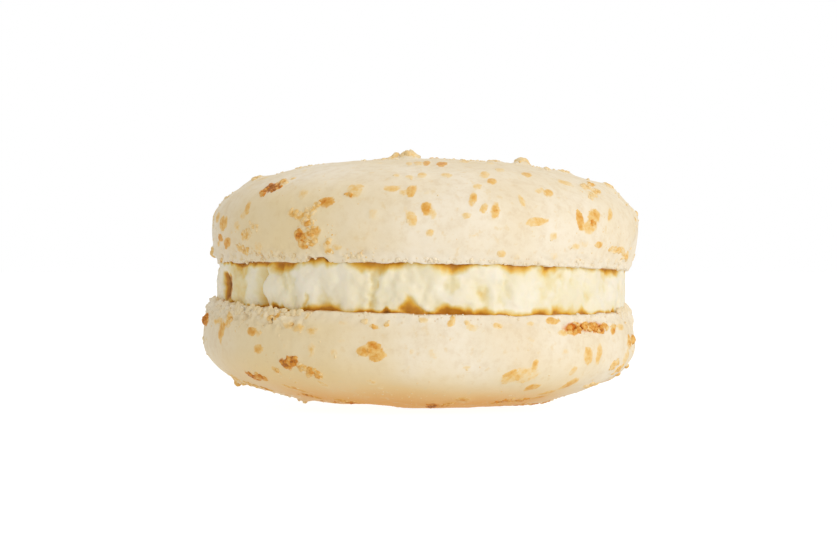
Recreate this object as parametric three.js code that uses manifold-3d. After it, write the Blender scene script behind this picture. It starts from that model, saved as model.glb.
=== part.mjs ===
// A French macaron: two domed almond-meringue shells round a piped buttercream filling.
//
// Each shell has a flat face, a crumbly foot round that face, a smooth skin over its dome, and
// toasted wafer flakes baked onto the skin. The lower shell lies dome down and has settled onto
// a small flat spot. The shells lean apart a little, so the filling is thickest at the front,
// where it shows as a soft wall with creases, and with hollows where it didn't reach the shells.
//
// Units are millimetres. +Z is up and -Y is the front. The origin lies on the table, under the
// middle of the macaron. Azimuths are in degrees round +Z from the front, growing to the right.

import * as THREE from "three";
import { mergeVertices } from "three/addons/utils/BufferGeometryUtils.js";
import Module from "manifold-3d";

const wasm = await Module();
wasm.setup();

// ---------------------------------------------------------------- driving dimensions

const BELLY_HEIGHT = 4.0; // from a shell's flat face to its widest circle
const RIM_INSET = 0.9; // the flat face's edge lies this far inside that circle
const ROUNDNESS = 2.42; // exponent of the dome's outline: 2 is an ellipse, more is boxier
const SKIRT_SHARE = 0.12; // share of the outline's parameter that runs below the widest circle

const FOOT_HEIGHT = 1.5; // crumbly band next to the flat face
const FOOT_CRUMB = 0.2; // how far its crumbs stand in or out
const RIM_WEAR = 0.16; // how far the flat face's edge is worn back
const OVALITY = 0.22; // how far the shells are from round

const SHELL_SECTORS = 80;
const DOME_RINGS = 13;

// Each shell's widest radius, its height, and how much deeper its dome is on the right than on
// average, as a share. Then where the middle of its flat face lies, and its lean in degrees:
// `nod` lowers the front and `roll` lowers the right.
const LOWER = {
  radius: 24.0, height: 11.3, lopsided: -0.015, aside: -0.2, lift: 10.98, nod: 1.8, roll: 1.35, seed: 7,
};
const UPPER = {
  radius: 23.7, height: 11.95, lopsided: 0.018, aside: 0.4, lift: 14.78, nod: -1.25, roll: 0.93, seed: 21,
};

const FILLING_RADIUS = 22.5; // of its face, between the creases
const FILLING_WAVES = 0.25; // how far that face swells and sinks
const FILLING_GAP = 0.1; // between the filling and each flat face
const FILLING_SECTORS = 96;
const FILLING_RINGS = 8;

const FLAKE_THICKNESS = 0.34; // share of a flake's width
const LARGE_FLAKE = 1.45; // flakes this long have rounded edges, and shorter ones are square chips
const GOLDEN_ANGLE = 137.508; // turns from one scattered flake to the next
const BARE_RIM = 1.4; // no scattered flake lies nearer the flat face, along the skin
const FRONT = 84; // the flakes within this azimuth of the front are set by hand
const FRONT_REACH = 20; // ... up to this far along the skin

// Where the foot is chipped away from the flat face: azimuth, width in degrees and depth.
const UPPER_CHIPS = [[-28.8, 6, 0.45]];
const LOWER_CHIPS = [[-39, 22, 0.3], [-52, 5, 0.2], [66, 16, 0.15]];

// Where the skin swells or is dented: azimuth, distance along the skin from the flat face's edge,
// radius and height, less than 0 for a dent.
const UPPER_KNOBS = [
  [-78, 11.6, 2.6, 0.3],
  [80, 10.3, 2.6, 0.3],
  [80, 0.4, 5.0, -1.15],
];
const LOWER_KNOBS = [
  [-81, 8.2, 2.6, -0.45],
  [-66, 13.2, 3.0, -0.3],
  [-45, 15, 4.0, -0.2],
  [-27, 19.5, 5.0, -0.7],
  [74, 11.5, 6.0, -0.5],
];

// Flakes that catch the eye at the front, one row each: azimuth, distance along the skin from
// the flat face's edge, length, width, and the turn of the length from level.
const UPPER_FLAKES = [
  // a dark toasted cluster on the left shoulder
  [-50, 8.0, 1.4, 0.9, -25],
  [-48, 8.7, 2.1, 1.3, -30],
  [-46.5, 10.0, 2.2, 0.9, -40],
  // left edge
  [-76, 11.8, 2.0, 1.0, -10],
  [-53.5, 6.1, 1.7, 1.0, -65],
  [-72, 5.2, 2.0, 1.1, 0],
  [-66, 4.5, 2.2, 1.4, 10],
  [-69, 3.0, 1.7, 0.8, 0],
  [-64, 2.4, 1.9, 1.0, 20],
  [-84, 1.6, 1.6, 0.9, 0],
  [-53, 3.1, 1.9, 1.1, 20],
  [-56, 1.8, 1.6, 0.7, 5],
  [-48, 1.9, 1.2, 0.8, 10],
  // crumbs running down to a large cluster over the foot
  [-26, 6.5, 2.0, 1.1, 5],
  [-35, 5.3, 1.4, 0.9, 0],
  [-31, 5.2, 1.7, 1.0, 10],
  [-32.5, 2.9, 1.6, 1.2, 5],
  [-29, 3.4, 2.0, 1.2, 15],
  [-31, 2.0, 1.7, 1.0, 10],
  [-25, 1.9, 1.1, 0.7, 50],
  [-19, 8.0, 2.2, 1.6, -75],
  // middle
  [-9, 8.3, 1.6, 1.0, 5],
  [-4, 8.0, 1.9, 1.0, 80],
  [0, 5.8, 1.4, 1.0, 85],
  [-3.5, 4.7, 1.5, 1.0, -75],
  [12, 7.0, 1.6, 0.8, 70],
  [14.5, 5.9, 1.2, 0.7, 60],
  [17.5, 5.6, 1.7, 1.0, 75],
  [18, 11.4, 1.9, 0.9, 65],
  [19, 9.9, 1.3, 0.9, 60],
  [34, 12.0, 2.0, 1.0, 50],
  [35, 8.2, 1.4, 0.9, 40],
  [25.5, 7.0, 1.5, 0.6, -80],
  [29, 4.7, 2.5, 0.8, 10],
  // right side
  [42.8, 5.0, 2.1, 1.1, -78],
  [48.5, 5.5, 2.1, 1.5, 15],
  [46.3, 4.3, 2.2, 1.1, 0],
  [56, 5.8, 1.8, 0.8, 45],
  [51, 2.6, 1.4, 0.7, -5],
  [61, 2.1, 2.6, 0.7, 0],
  [67, 1.6, 2.2, 0.8, -10],
  [54, 9.8, 2.3, 1.1, 20],
  [61, 10.6, 2.3, 0.9, 20],
  [46, 10.5, 1.9, 1.3, -5],
  [79, 10.4, 2.2, 1.2, 0],
  // along the top, with the crumbs that stand up on the skyline
  [0, 16.4, 2.6, 0.7, 90],
  [6, 15.7, 2.6, 1.1, 80],
  [19, 18.7, 2.6, 1.0, 70],
  [-13, 23.0, 2.6, 2.1, 10],
  [-23.5, 22.9, 1.5, 1.5, 0],
  [57, 18.9, 1.7, 1.7, 0],
];
const LOWER_FLAKES = [
  // left edge
  [-78, 2.3, 2.8, 1.1, 0],
  [-62.3, 3.0, 2.2, 1.4, 80],
  [-59, 1.7, 1.5, 0.9, 80],
  [-47, 2.8, 1.6, 0.9, 0],
  [-44, 4.5, 1.4, 0.9, -5],
  // a dark cluster with a pale tail, lower left
  [-35, 5.8, 1.6, 1.1, -30],
  [-32.5, 5.5, 1.6, 1.1, -5],
  [-29, 6.3, 1.8, 1.1, 30],
  [-26, 6.9, 1.3, 0.9, -50],
  [-49, 7.9, 2.8, 1.0, -25],
  [-37.5, 10.1, 2.5, 1.0, -45],
  [-78, 10.6, 1.8, 1.4, -10],
  // middle
  [-13, 4.0, 1.9, 1.1, 5],
  [-10.5, 3.6, 1.7, 1.0, -10],
  [-10, 4.6, 1.7, 0.9, 10],
  [8, 0.9, 1.1, 0.6, 60],
  // right side
  [36, 0.9, 1.6, 0.8, 0],
  [47.5, 4.5, 2.0, 1.3, -75],
  [52, 4.4, 1.9, 1.0, 80],
  [74, 3.5, 2.4, 1.4, 0],
  [61.5, 5.8, 2.0, 0.9, 10],
  [67, 6.5, 2.2, 0.9, 15],
  [30, 5.3, 1.3, 0.7, 80],
  // toasted crumbs caught under the foot
  [43, 1.6, 2.0, 1.2, 0],
  [50.6, 1.6, 2.4, 1.1, -8],
  [55.5, 1.6, 1.6, 0.8, -5],
  [60.5, 2.1, 1.2, 0.7, 15],
  // a broad flake sunk in the skin, lower right
  [25.5, 6.6, 3.8, 1.5, 25],
  [23.5, 6.3, 2.0, 0.8, 30],
  [32, 8.4, 1.7, 1.1, 35],
  [40, 9.8, 2.1, 1.1, 35],
  [45, 8.2, 2.4, 1.3, 40],
  // along the bottom
  [35, 12.1, 2.6, 1.2, 45],
  [14, 11.4, 2.0, 1.4, -55],
  [-23.5, 13.2, 2.8, 1.3, -35],
];
const UPPER_SCATTER = 80; // flakes over a whole dome, before the front is left clear
const LOWER_SCATTER = 68;

// Creases where two strokes of the nozzle meet: azimuth, half-width in degrees, depth, and the
// lowest and highest level, where -1 is the filling's lower face and 1 its upper.
const CREASES = [
  [-69, 7, 0.9, -0.9, 0.9],
  [-47, 7, 0.7, -1.2, 1.0],
  [-37, 6, 0.4, -1.0, 1.2],
  [-11, 6, 0.45, -0.9, 1.0],
  [0.5, 5, 0.35, -1.0, 0.3],
  [8, 5, 0.4, -0.3, 1.1],
  [23, 6, 0.35, -0.7, 1.0],
  [40, 5, 0.35, -0.9, 0.8],
  [62, 6, 0.3, -0.8, 1.0],
];
// Hollows at the filling's upper side (1) and lower side (-1): azimuth, half-width in degrees,
// height as a share of the gap, depth, and the side.
const HOLLOWS = [
  [-39, 8, 0.28, 0.35, 1],
  [-12.5, 8, 0.27, 0.4, 1],
  [8.5, 8, 0.26, 0.4, 1],
  [25, 8, 0.19, 0.35, 1],
  [68, 9, 0.16, 0.5, 1],
  [-66, 7, 0.14, 0.6, -1],
  [-41.5, 6, 0.17, 0.45, -1],
  [-27, 8, 0.13, 0.5, -1],
  [-1.6, 6, 0.4, 0.4, -1],
  [8.5, 7, 0.2, 0.5, -1],
  [40.5, 6, 0.17, 0.4, -1],
];
const BACK_CREASES = 10; // round the rest of the filling, each with a hollow beside it

// ---------------------------------------------------------------- helpers

// The same run of numbers between 0 and 1 for the same seed.
function drawFrom(seed) {
  let state = seed;
  return () => {
    state = (state * 1664525 + 1013904223) % 4294967296;
    return state / 4294967296;
  };
}

// A smooth wave round the axis, between -1 and 1: a mean of cosines with drawn phases.
function rippleOf(waves, seed) {
  const draw = drawFrom(seed);
  const phases = waves.map(() => draw() * 2 * Math.PI);
  return (azimuth) => {
    const angle = THREE.MathUtils.degToRad(azimuth);
    const sum = waves.reduce((total, wave, i) => total + Math.cos(wave * angle + phases[i]), 0);
    return sum / waves.length;
  };
}

const radians = THREE.MathUtils.degToRad;
const azimuthOf = (x, y) => THREE.MathUtils.radToDeg(Math.atan2(x, -y));
const turnBetween = (a, b) => THREE.MathUtils.euclideanModulo(a - b + 180, 360) - 180;

// Vertices at one place become one, so that the surface is closed.
function weld(geometry) {
  geometry.deleteAttribute("normal");
  geometry.deleteAttribute("uv");
  return mergeVertices(geometry, 1e-4);
}

function solidFrom(geometry) {
  const welded = weld(geometry);
  const corners = Array.from(welded.index.array);
  const triangles = [];
  for (let i = 0; i < corners.length; i += 3) {
    const [a, b, c] = corners.slice(i, i + 3);
    if (a !== b && b !== c && c !== a) triangles.push(a, b, c);
  }
  return new wasm.Manifold(
    new wasm.Mesh({
      numProp: 3,
      vertProperties: welded.attributes.position.array,
      triVerts: new Uint32Array(triangles),
    }),
  );
}

function largestPiece(solid) {
  return solid.decompose().reduce((most, piece) => (piece.volume() > most.volume() ? piece : most));
}

function geometryFrom(solid) {
  const { vertProperties, triVerts } = solid.getMesh();
  const geometry = new THREE.BufferGeometry();
  geometry.setAttribute("position", new THREE.BufferAttribute(vertProperties, 3));
  geometry.setIndex(new THREE.BufferAttribute(triVerts, 1));
  geometry.computeVertexNormals();
  return geometry;
}

// Moves every vertex of a welded geometry; `move` changes the point that it is given.
function reshape(geometry, move) {
  const welded = weld(geometry);
  const { position } = welded.attributes;
  const point = new THREE.Vector3();
  for (let i = 0; i < position.count; i++) {
    point.fromBufferAttribute(position, i);
    move(point);
    position.setXYZ(i, point.x, point.y, point.z);
  }
  return welded;
}

// ---------------------------------------------------------------- shells

// Half of a shell's outline, as radius and height over the flat face: a skirt that swells from
// the rim to the belly, then a quarter of a superellipse up to the pole.
class ShellOutline extends THREE.Curve {
  constructor({ radius, height }) {
    super();
    this.radius = radius;
    this.height = height;
    this.arcLengthDivisions = 800;
  }

  getPoint(t, target = new THREE.Vector2()) {
    if (t < SKIRT_SHARE) {
      const climb = t / SKIRT_SHARE;
      return target.set(this.radius - RIM_INSET * (1 - climb) ** 2, BELLY_HEIGHT * climb);
    }
    const angle = ((t - SKIRT_SHARE) / (1 - SKIRT_SHARE)) * (Math.PI / 2);
    const crown = this.height - BELLY_HEIGHT;
    const radius = this.radius * Math.max(Math.cos(angle), 0) ** (2 / ROUNDNESS);
    return target.set(radius, BELLY_HEIGHT + crown * Math.sin(angle) ** (2 / ROUNDNESS));
  }
}

// The lower shell is turned over about its y axis, so its right is at -x.
const rightOf = (spec) => (spec === UPPER ? 1 : -1);

// Makes the even shell a little out of round and lopsided.
function ovalOf(spec) {
  const ripple = rippleOf([2, 3, 5], spec.seed);
  return (point) => {
    const stretch = 1 + (OVALITY * ripple(azimuthOf(point.x, point.y))) / spec.radius;
    point.z *= 1 + (spec.lopsided * rightOf(spec) * point.x) / spec.radius;
    point.x *= stretch;
    point.y *= stretch;
  };
}

// Bends a point of the even shell to the real one, with its knobs and dents.
function bendOf(spec, outline) {
  const oval = ovalOf(spec);
  const knobs = (spec === UPPER ? UPPER_KNOBS : LOWER_KNOBS).map(([azimuth, along, radius, height]) => {
    const seat = seatOn(outline, oval, rightOf(spec) * azimuth, along, 0);
    const middle = new THREE.Vector3().setFromMatrixPosition(seat);
    const push = new THREE.Vector3().setFromMatrixColumn(seat, 2).multiplyScalar(height);
    return { middle, push, radius };
  });
  return (point) => {
    oval(point);
    const start = point.clone();
    for (const { middle, push, radius } of knobs) {
      const nearness = 1 - start.distanceTo(middle) / radius;
      point.addScaledVector(push, THREE.MathUtils.smoothstep(nearness, 0, 0.85));
    }
  };
}

function shellBody(spec, outline) {
  const skin = outline.getSpacedPoints(DOME_RINGS);
  skin.splice(1, 0, outline.getPointAt(0.025), outline.getPointAt(0.05));
  skin.at(-1).x = 0;
  const rim = spec.radius - RIM_INSET;
  const face = [0, 0.88].map((share) => new THREE.Vector2(share * rim, 0));
  const lathe = new THREE.LatheGeometry([...face, ...skin], SHELL_SECTORS);
  lathe.rotateX(Math.PI / 2);

  const oval = ovalOf(spec);
  const bend = bendOf(spec, outline);
  const ruffles = rippleOf([13, 21, 34], spec.seed + 1);
  const wear = rippleOf([17, 29, 41], spec.seed + 2);
  const chips = spec === UPPER ? UPPER_CHIPS : LOWER_CHIPS;
  return reshape(lathe, (point) => {
    const radius = Math.hypot(point.x, point.y);
    const azimuth = azimuthOf(point.x, point.y);
    const nearRim = radius > 0.95 * rim;
    const inFoot = nearRim ? Math.max(0, 1 - point.z / FOOT_HEIGHT) : 0;
    const crumb = 1 + (FOOT_CRUMB * inFoot * ruffles(azimuth + 60 * point.z)) / spec.radius;
    point.x *= crumb;
    point.y *= crumb;
    const onFace = point.z < 0.01;
    if (onFace && !nearRim) oval(point);
    else bend(point);
    if (onFace && nearRim) {
      point.z += RIM_WEAR * (1 + wear(azimuth));
      for (const [middle, width, depth] of chips) {
        if (Math.abs(turnBetween(rightOf(spec) * azimuth, middle)) < width / 2) point.z += depth;
      }
    }
  });
}

// The turn and place that seat a flake on the skin: its x runs round the shell, its y up the
// skin and its z straight out.
function seatOn(outline, bend, azimuth, along, turn) {
  const share = THREE.MathUtils.clamp(along / outline.getLength(), 0, 1);
  const place = outline.getPointAt(share);
  const slope = outline.getTangentAt(share);
  const angle = radians(azimuth);
  const outward = new THREE.Vector3(Math.sin(angle), -Math.cos(angle), 0);
  const around = new THREE.Vector3(Math.cos(angle), Math.sin(angle), 0);
  const up = new THREE.Vector3(0, 0, 1);
  const upSkin = outward.clone().multiplyScalar(slope.x).addScaledVector(up, slope.y);
  const normal = outward.clone().multiplyScalar(slope.y).addScaledVector(up, -slope.x);
  const seat = new THREE.Matrix4().makeBasis(around, upSkin, normal);
  const point = outward.multiplyScalar(place.x).addScaledVector(up, place.y);
  bend(point);
  seat.setPosition(point);
  return seat.multiply(new THREE.Matrix4().makeRotationZ(radians(turn)));
}

// One flake: a flat broken crumb, half of it sunk in the skin.
function flakeAt(seat, length, width, draw) {
  const blank = length > LARGE_FLAKE
    ? new THREE.IcosahedronGeometry(1, 0)
    : new THREE.BoxGeometry(1.6, 1.6, 1.7);
  const crumb = reshape(blank, (point) => point.multiplyScalar(0.86 + 0.28 * draw()));
  crumb.scale(length / 2, width / 2, FLAKE_THICKNESS * width);
  crumb.applyMatrix4(seat);
  return solidFrom(crumb);
}

// Flakes spread evenly over the dome's area, each at a drawn size and turn.
function scatter(outline, count, seed) {
  const steps = 400;
  const area = [0];
  for (let i = 1; i <= steps; i++) {
    area.push(area[i - 1] + outline.getPointAt((i - 0.5) / steps).x);
  }
  const draw = drawFrom(seed);
  const rows = [];
  for (let i = 0; i < count; i++) {
    const azimuth = turnBetween(i * GOLDEN_ANGLE + 24 * (draw() - 0.5), 0);
    const share = (i + 0.1 + 0.8 * draw()) / count;
    const length = 0.9 + 1.5 * draw() ** 2;
    const width = length * (0.5 + 0.4 * draw());
    const turn = 360 * draw();
    const step = area.findIndex((sum) => sum >= share * area[steps]);
    const along = (step / steps) * outline.getLength();
    const atFront = Math.abs(azimuth) < FRONT && along < FRONT_REACH;
    if (along > BARE_RIM && !atFront) rows.push([azimuth, along, length, width, turn]);
  }
  return rows;
}

function shellWithFlakes(spec, rows) {
  const outline = new ShellOutline(spec);
  const bend = bendOf(spec, outline);
  const draw = drawFrom(spec.seed + 3);
  let solid = solidFrom(shellBody(spec, outline));
  for (const [azimuth, along, length, width, turn] of rows) {
    const seat = seatOn(outline, bend, rightOf(spec) * azimuth, along, turn);
    solid = solid.add(flakeAt(seat, length, width, draw));
  }
  return largestPiece(solid);
}

// ---------------------------------------------------------------- filling

// The front's creases and hollows, and others like them round the back.
function backOfFilling() {
  const draw = drawFrom(5);
  const [first] = CREASES[0];
  const [last] = CREASES.at(-1);
  const step = (360 - (last - first)) / (BACK_CREASES + 1);
  const creases = [...CREASES];
  const hollows = [...HOLLOWS];
  for (let i = 0; i < BACK_CREASES; i++) {
    const azimuth = last + (i + 0.8 + 0.4 * draw()) * step;
    creases.push([azimuth, 5 + 3 * draw(), 0.35 + 0.3 * draw(), -1.2 + 0.5 * draw(), 0.6 + 0.5 * draw()]);
    hollows.push([azimuth + 6, 6 + 3 * draw(), 0.15 + 0.15 * draw(), 0.35 + 0.2 * draw(), i % 2 ? 1 : -1]);
  }
  return { creases, hollows };
}

// How far the filling reaches at an azimuth and a level from -1, its lower face, to 1.
function fillingReach({ creases, hollows }, waves, azimuth, level) {
  let depth = 0;
  for (const [middle, halfWidth, deepest, low, high] of creases) {
    const across = Math.abs(turnBetween(azimuth, middle)) / halfWidth;
    const begun = THREE.MathUtils.smoothstep(level, low - 0.3, low);
    const ended = THREE.MathUtils.smoothstep(level, high, high + 0.3);
    depth = Math.max(depth, deepest * Math.max(0, 1 - across) * begun * (1 - ended));
  }
  for (const [middle, halfWidth, height, deepest, side] of hollows) {
    const across = Math.abs(turnBetween(azimuth, middle)) / halfWidth;
    const inward = (1 - level * side) / 2;
    const edge = height * (1 - across ** 1.6);
    depth = Math.max(depth, deepest * THREE.MathUtils.smoothstep(edge - inward, -0.05, 0.2));
  }
  return FILLING_RADIUS + FILLING_WAVES * waves(azimuth + 20 * level) - depth;
}

// Height of a leaning flat face at a place on it.
function faceHeight(spec, x, y) {
  const across = (x - spec.aside) * Math.tan(radians(spec.roll));
  return spec.lift - across + y * Math.tan(radians(spec.nod));
}

function fillingBody() {
  const dips = backOfFilling();
  const waves = rippleOf([5, 9, 14], 3);
  const side = Array.from({ length: FILLING_RINGS + 1 }, (_, i) =>
    new THREE.Vector2(1, (2 * i) / FILLING_RINGS - 1));
  const lower = [0, 0.85].map((share) => new THREE.Vector2(share, -1));
  const upper = [0.85, 0].map((share) => new THREE.Vector2(share, 1));
  const lathe = new THREE.LatheGeometry([...lower, ...side, ...upper], FILLING_SECTORS);
  lathe.rotateX(Math.PI / 2);
  return reshape(lathe, (point) => {
    const level = point.z;
    const reach = fillingReach(dips, waves, azimuthOf(point.x, point.y), level);
    point.x *= reach;
    point.y *= reach;
    const floor = faceHeight(LOWER, point.x, point.y) + FILLING_GAP;
    const roof = faceHeight(UPPER, point.x, point.y) - FILLING_GAP;
    point.z = THREE.MathUtils.lerp(floor, roof, (level + 1) / 2);
  });
}

// ---------------------------------------------------------------- the macaron

const shellLook = new THREE.MeshStandardMaterial({ color: 0xf0e0c2, roughness: 0.7 });
const fillingLook = new THREE.MeshStandardMaterial({ color: 0xf1ead0, roughness: 0.5 });

function place(mesh, spec, flip) {
  mesh.position.set(spec.aside, 0, spec.lift);
  mesh.rotation.set(radians(spec.nod), radians(spec.roll + flip), 0);
  mesh.updateMatrix();
}

function upperShell() {
  const outline = new ShellOutline(UPPER);
  const rows = [...UPPER_FLAKES, ...scatter(outline, UPPER_SCATTER, UPPER.seed + 4)];
  const solid = shellWithFlakes(UPPER, rows);
  const mesh = new THREE.Mesh(geometryFrom(solid), shellLook);
  mesh.name = "upper_shell";
  place(mesh, UPPER, 0);
  return mesh;
}

// The lower shell is turned over, and cut where it rests on the table.
function lowerShell() {
  const outline = new ShellOutline(LOWER);
  const rows = [...LOWER_FLAKES, ...scatter(outline, LOWER_SCATTER, LOWER.seed + 4)];
  const mesh = new THREE.Mesh(new THREE.BufferGeometry(), shellLook);
  mesh.name = "lower_shell";
  place(mesh, LOWER, 180);
  const table = new THREE.BoxGeometry(80, 80, 10).translate(0, 0, -5);
  table.applyMatrix4(mesh.matrix.clone().invert());
  const whole = shellWithFlakes(LOWER, rows);
  mesh.geometry = geometryFrom(largestPiece(whole.subtract(solidFrom(table))));
  return mesh;
}

function filling() {
  const mesh = new THREE.Mesh(fillingBody(), fillingLook);
  mesh.name = "filling";
  return mesh;
}

const macaron = new THREE.Group();
macaron.add(lowerShell(), filling(), upperShell());

export default macaron;
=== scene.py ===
# %% [markdown]
# # A French macaron
#
# A macaron is two domed shells of almond meringue with buttercream between them. Here the shells
# are strewn with toasted wafer flakes before they bake, so that the flakes sink into the skin.
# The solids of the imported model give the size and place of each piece. This script makes the
# skin, the flakes and the cream that are seen, at the same size and in the same place.

import math

import bmesh
import bpy
import numpy as np
from mathutils import Matrix, Vector


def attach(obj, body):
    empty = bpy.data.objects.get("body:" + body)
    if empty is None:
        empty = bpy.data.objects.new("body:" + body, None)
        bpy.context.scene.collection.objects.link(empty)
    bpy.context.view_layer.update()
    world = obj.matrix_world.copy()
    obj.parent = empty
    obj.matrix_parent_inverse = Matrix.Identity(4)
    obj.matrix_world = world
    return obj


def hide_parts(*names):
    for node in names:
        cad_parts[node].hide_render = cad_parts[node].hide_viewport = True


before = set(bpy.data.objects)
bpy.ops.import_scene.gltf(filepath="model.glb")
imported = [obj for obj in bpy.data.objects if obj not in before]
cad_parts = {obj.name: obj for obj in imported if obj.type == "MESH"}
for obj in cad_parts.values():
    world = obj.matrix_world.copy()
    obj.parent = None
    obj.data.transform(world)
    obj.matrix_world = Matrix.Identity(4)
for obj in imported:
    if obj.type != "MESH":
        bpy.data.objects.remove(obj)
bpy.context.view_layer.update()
print("nodes:", sorted(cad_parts))

# %% [markdown]
# ## Sizes
#
# Everything is worked out in millimetres and turned to metres when a mesh is finished. Azimuths
# are in degrees round +Z from the front, growing to the right. The sizes repeat those of the
# solids, so that the skin lies where the solid's surface lies.

# %% Sizes of the shells
MM = 0.001

BELLY_HEIGHT = 4.0  # from a shell's flat face to its widest circle
RIM_INSET = 0.9  # the flat face's edge lies this far inside that circle
ROUNDNESS = 2.42  # exponent of the dome's outline: 2 is an ellipse, more is boxier
SKIRT_SHARE = 0.12  # share of the outline's parameter that runs below the widest circle
OVALITY = 0.22  # how far the shells are from round
RIM_WEAR = 0.1  # how far the flat face's edge is worn back

LOWER = {
    "name": "lower", "radius": 24.0, "height": 11.3, "lopsided": -0.015, "aside": -0.2,
    "lift": 10.98, "nod": 1.8, "roll": 1.35, "seed": 7, "side": -1,
}
UPPER = {
    "name": "upper", "radius": 23.7, "height": 11.95, "lopsided": 0.018, "aside": 0.4,
    "lift": 14.78, "nod": -1.25, "roll": 0.93, "seed": 21, "side": 1,
}

# %% [markdown]
# ## The flakes, listed at the front and by rule elsewhere
#
# A baker crumbles toasted wafer over the piped shells. The flakes that catch the eye at the front
# are listed, one row each. The rest follow the golden angle, which spreads any number of
# things evenly round a dome, with drawn shifts so that no pattern shows.
#
# A row holds the azimuth, the distance along the skin from the flat face's edge, the length, the
# width, the turn of the length from level, how dark the flake is toasted, and its kind: a flat
# chip, a crumbly cluster, or one sunk under the skin.

# %% The flakes at the front
FLAT, CRUMBLY, SUNK = "flat", "crumbly", "sunk"

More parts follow.
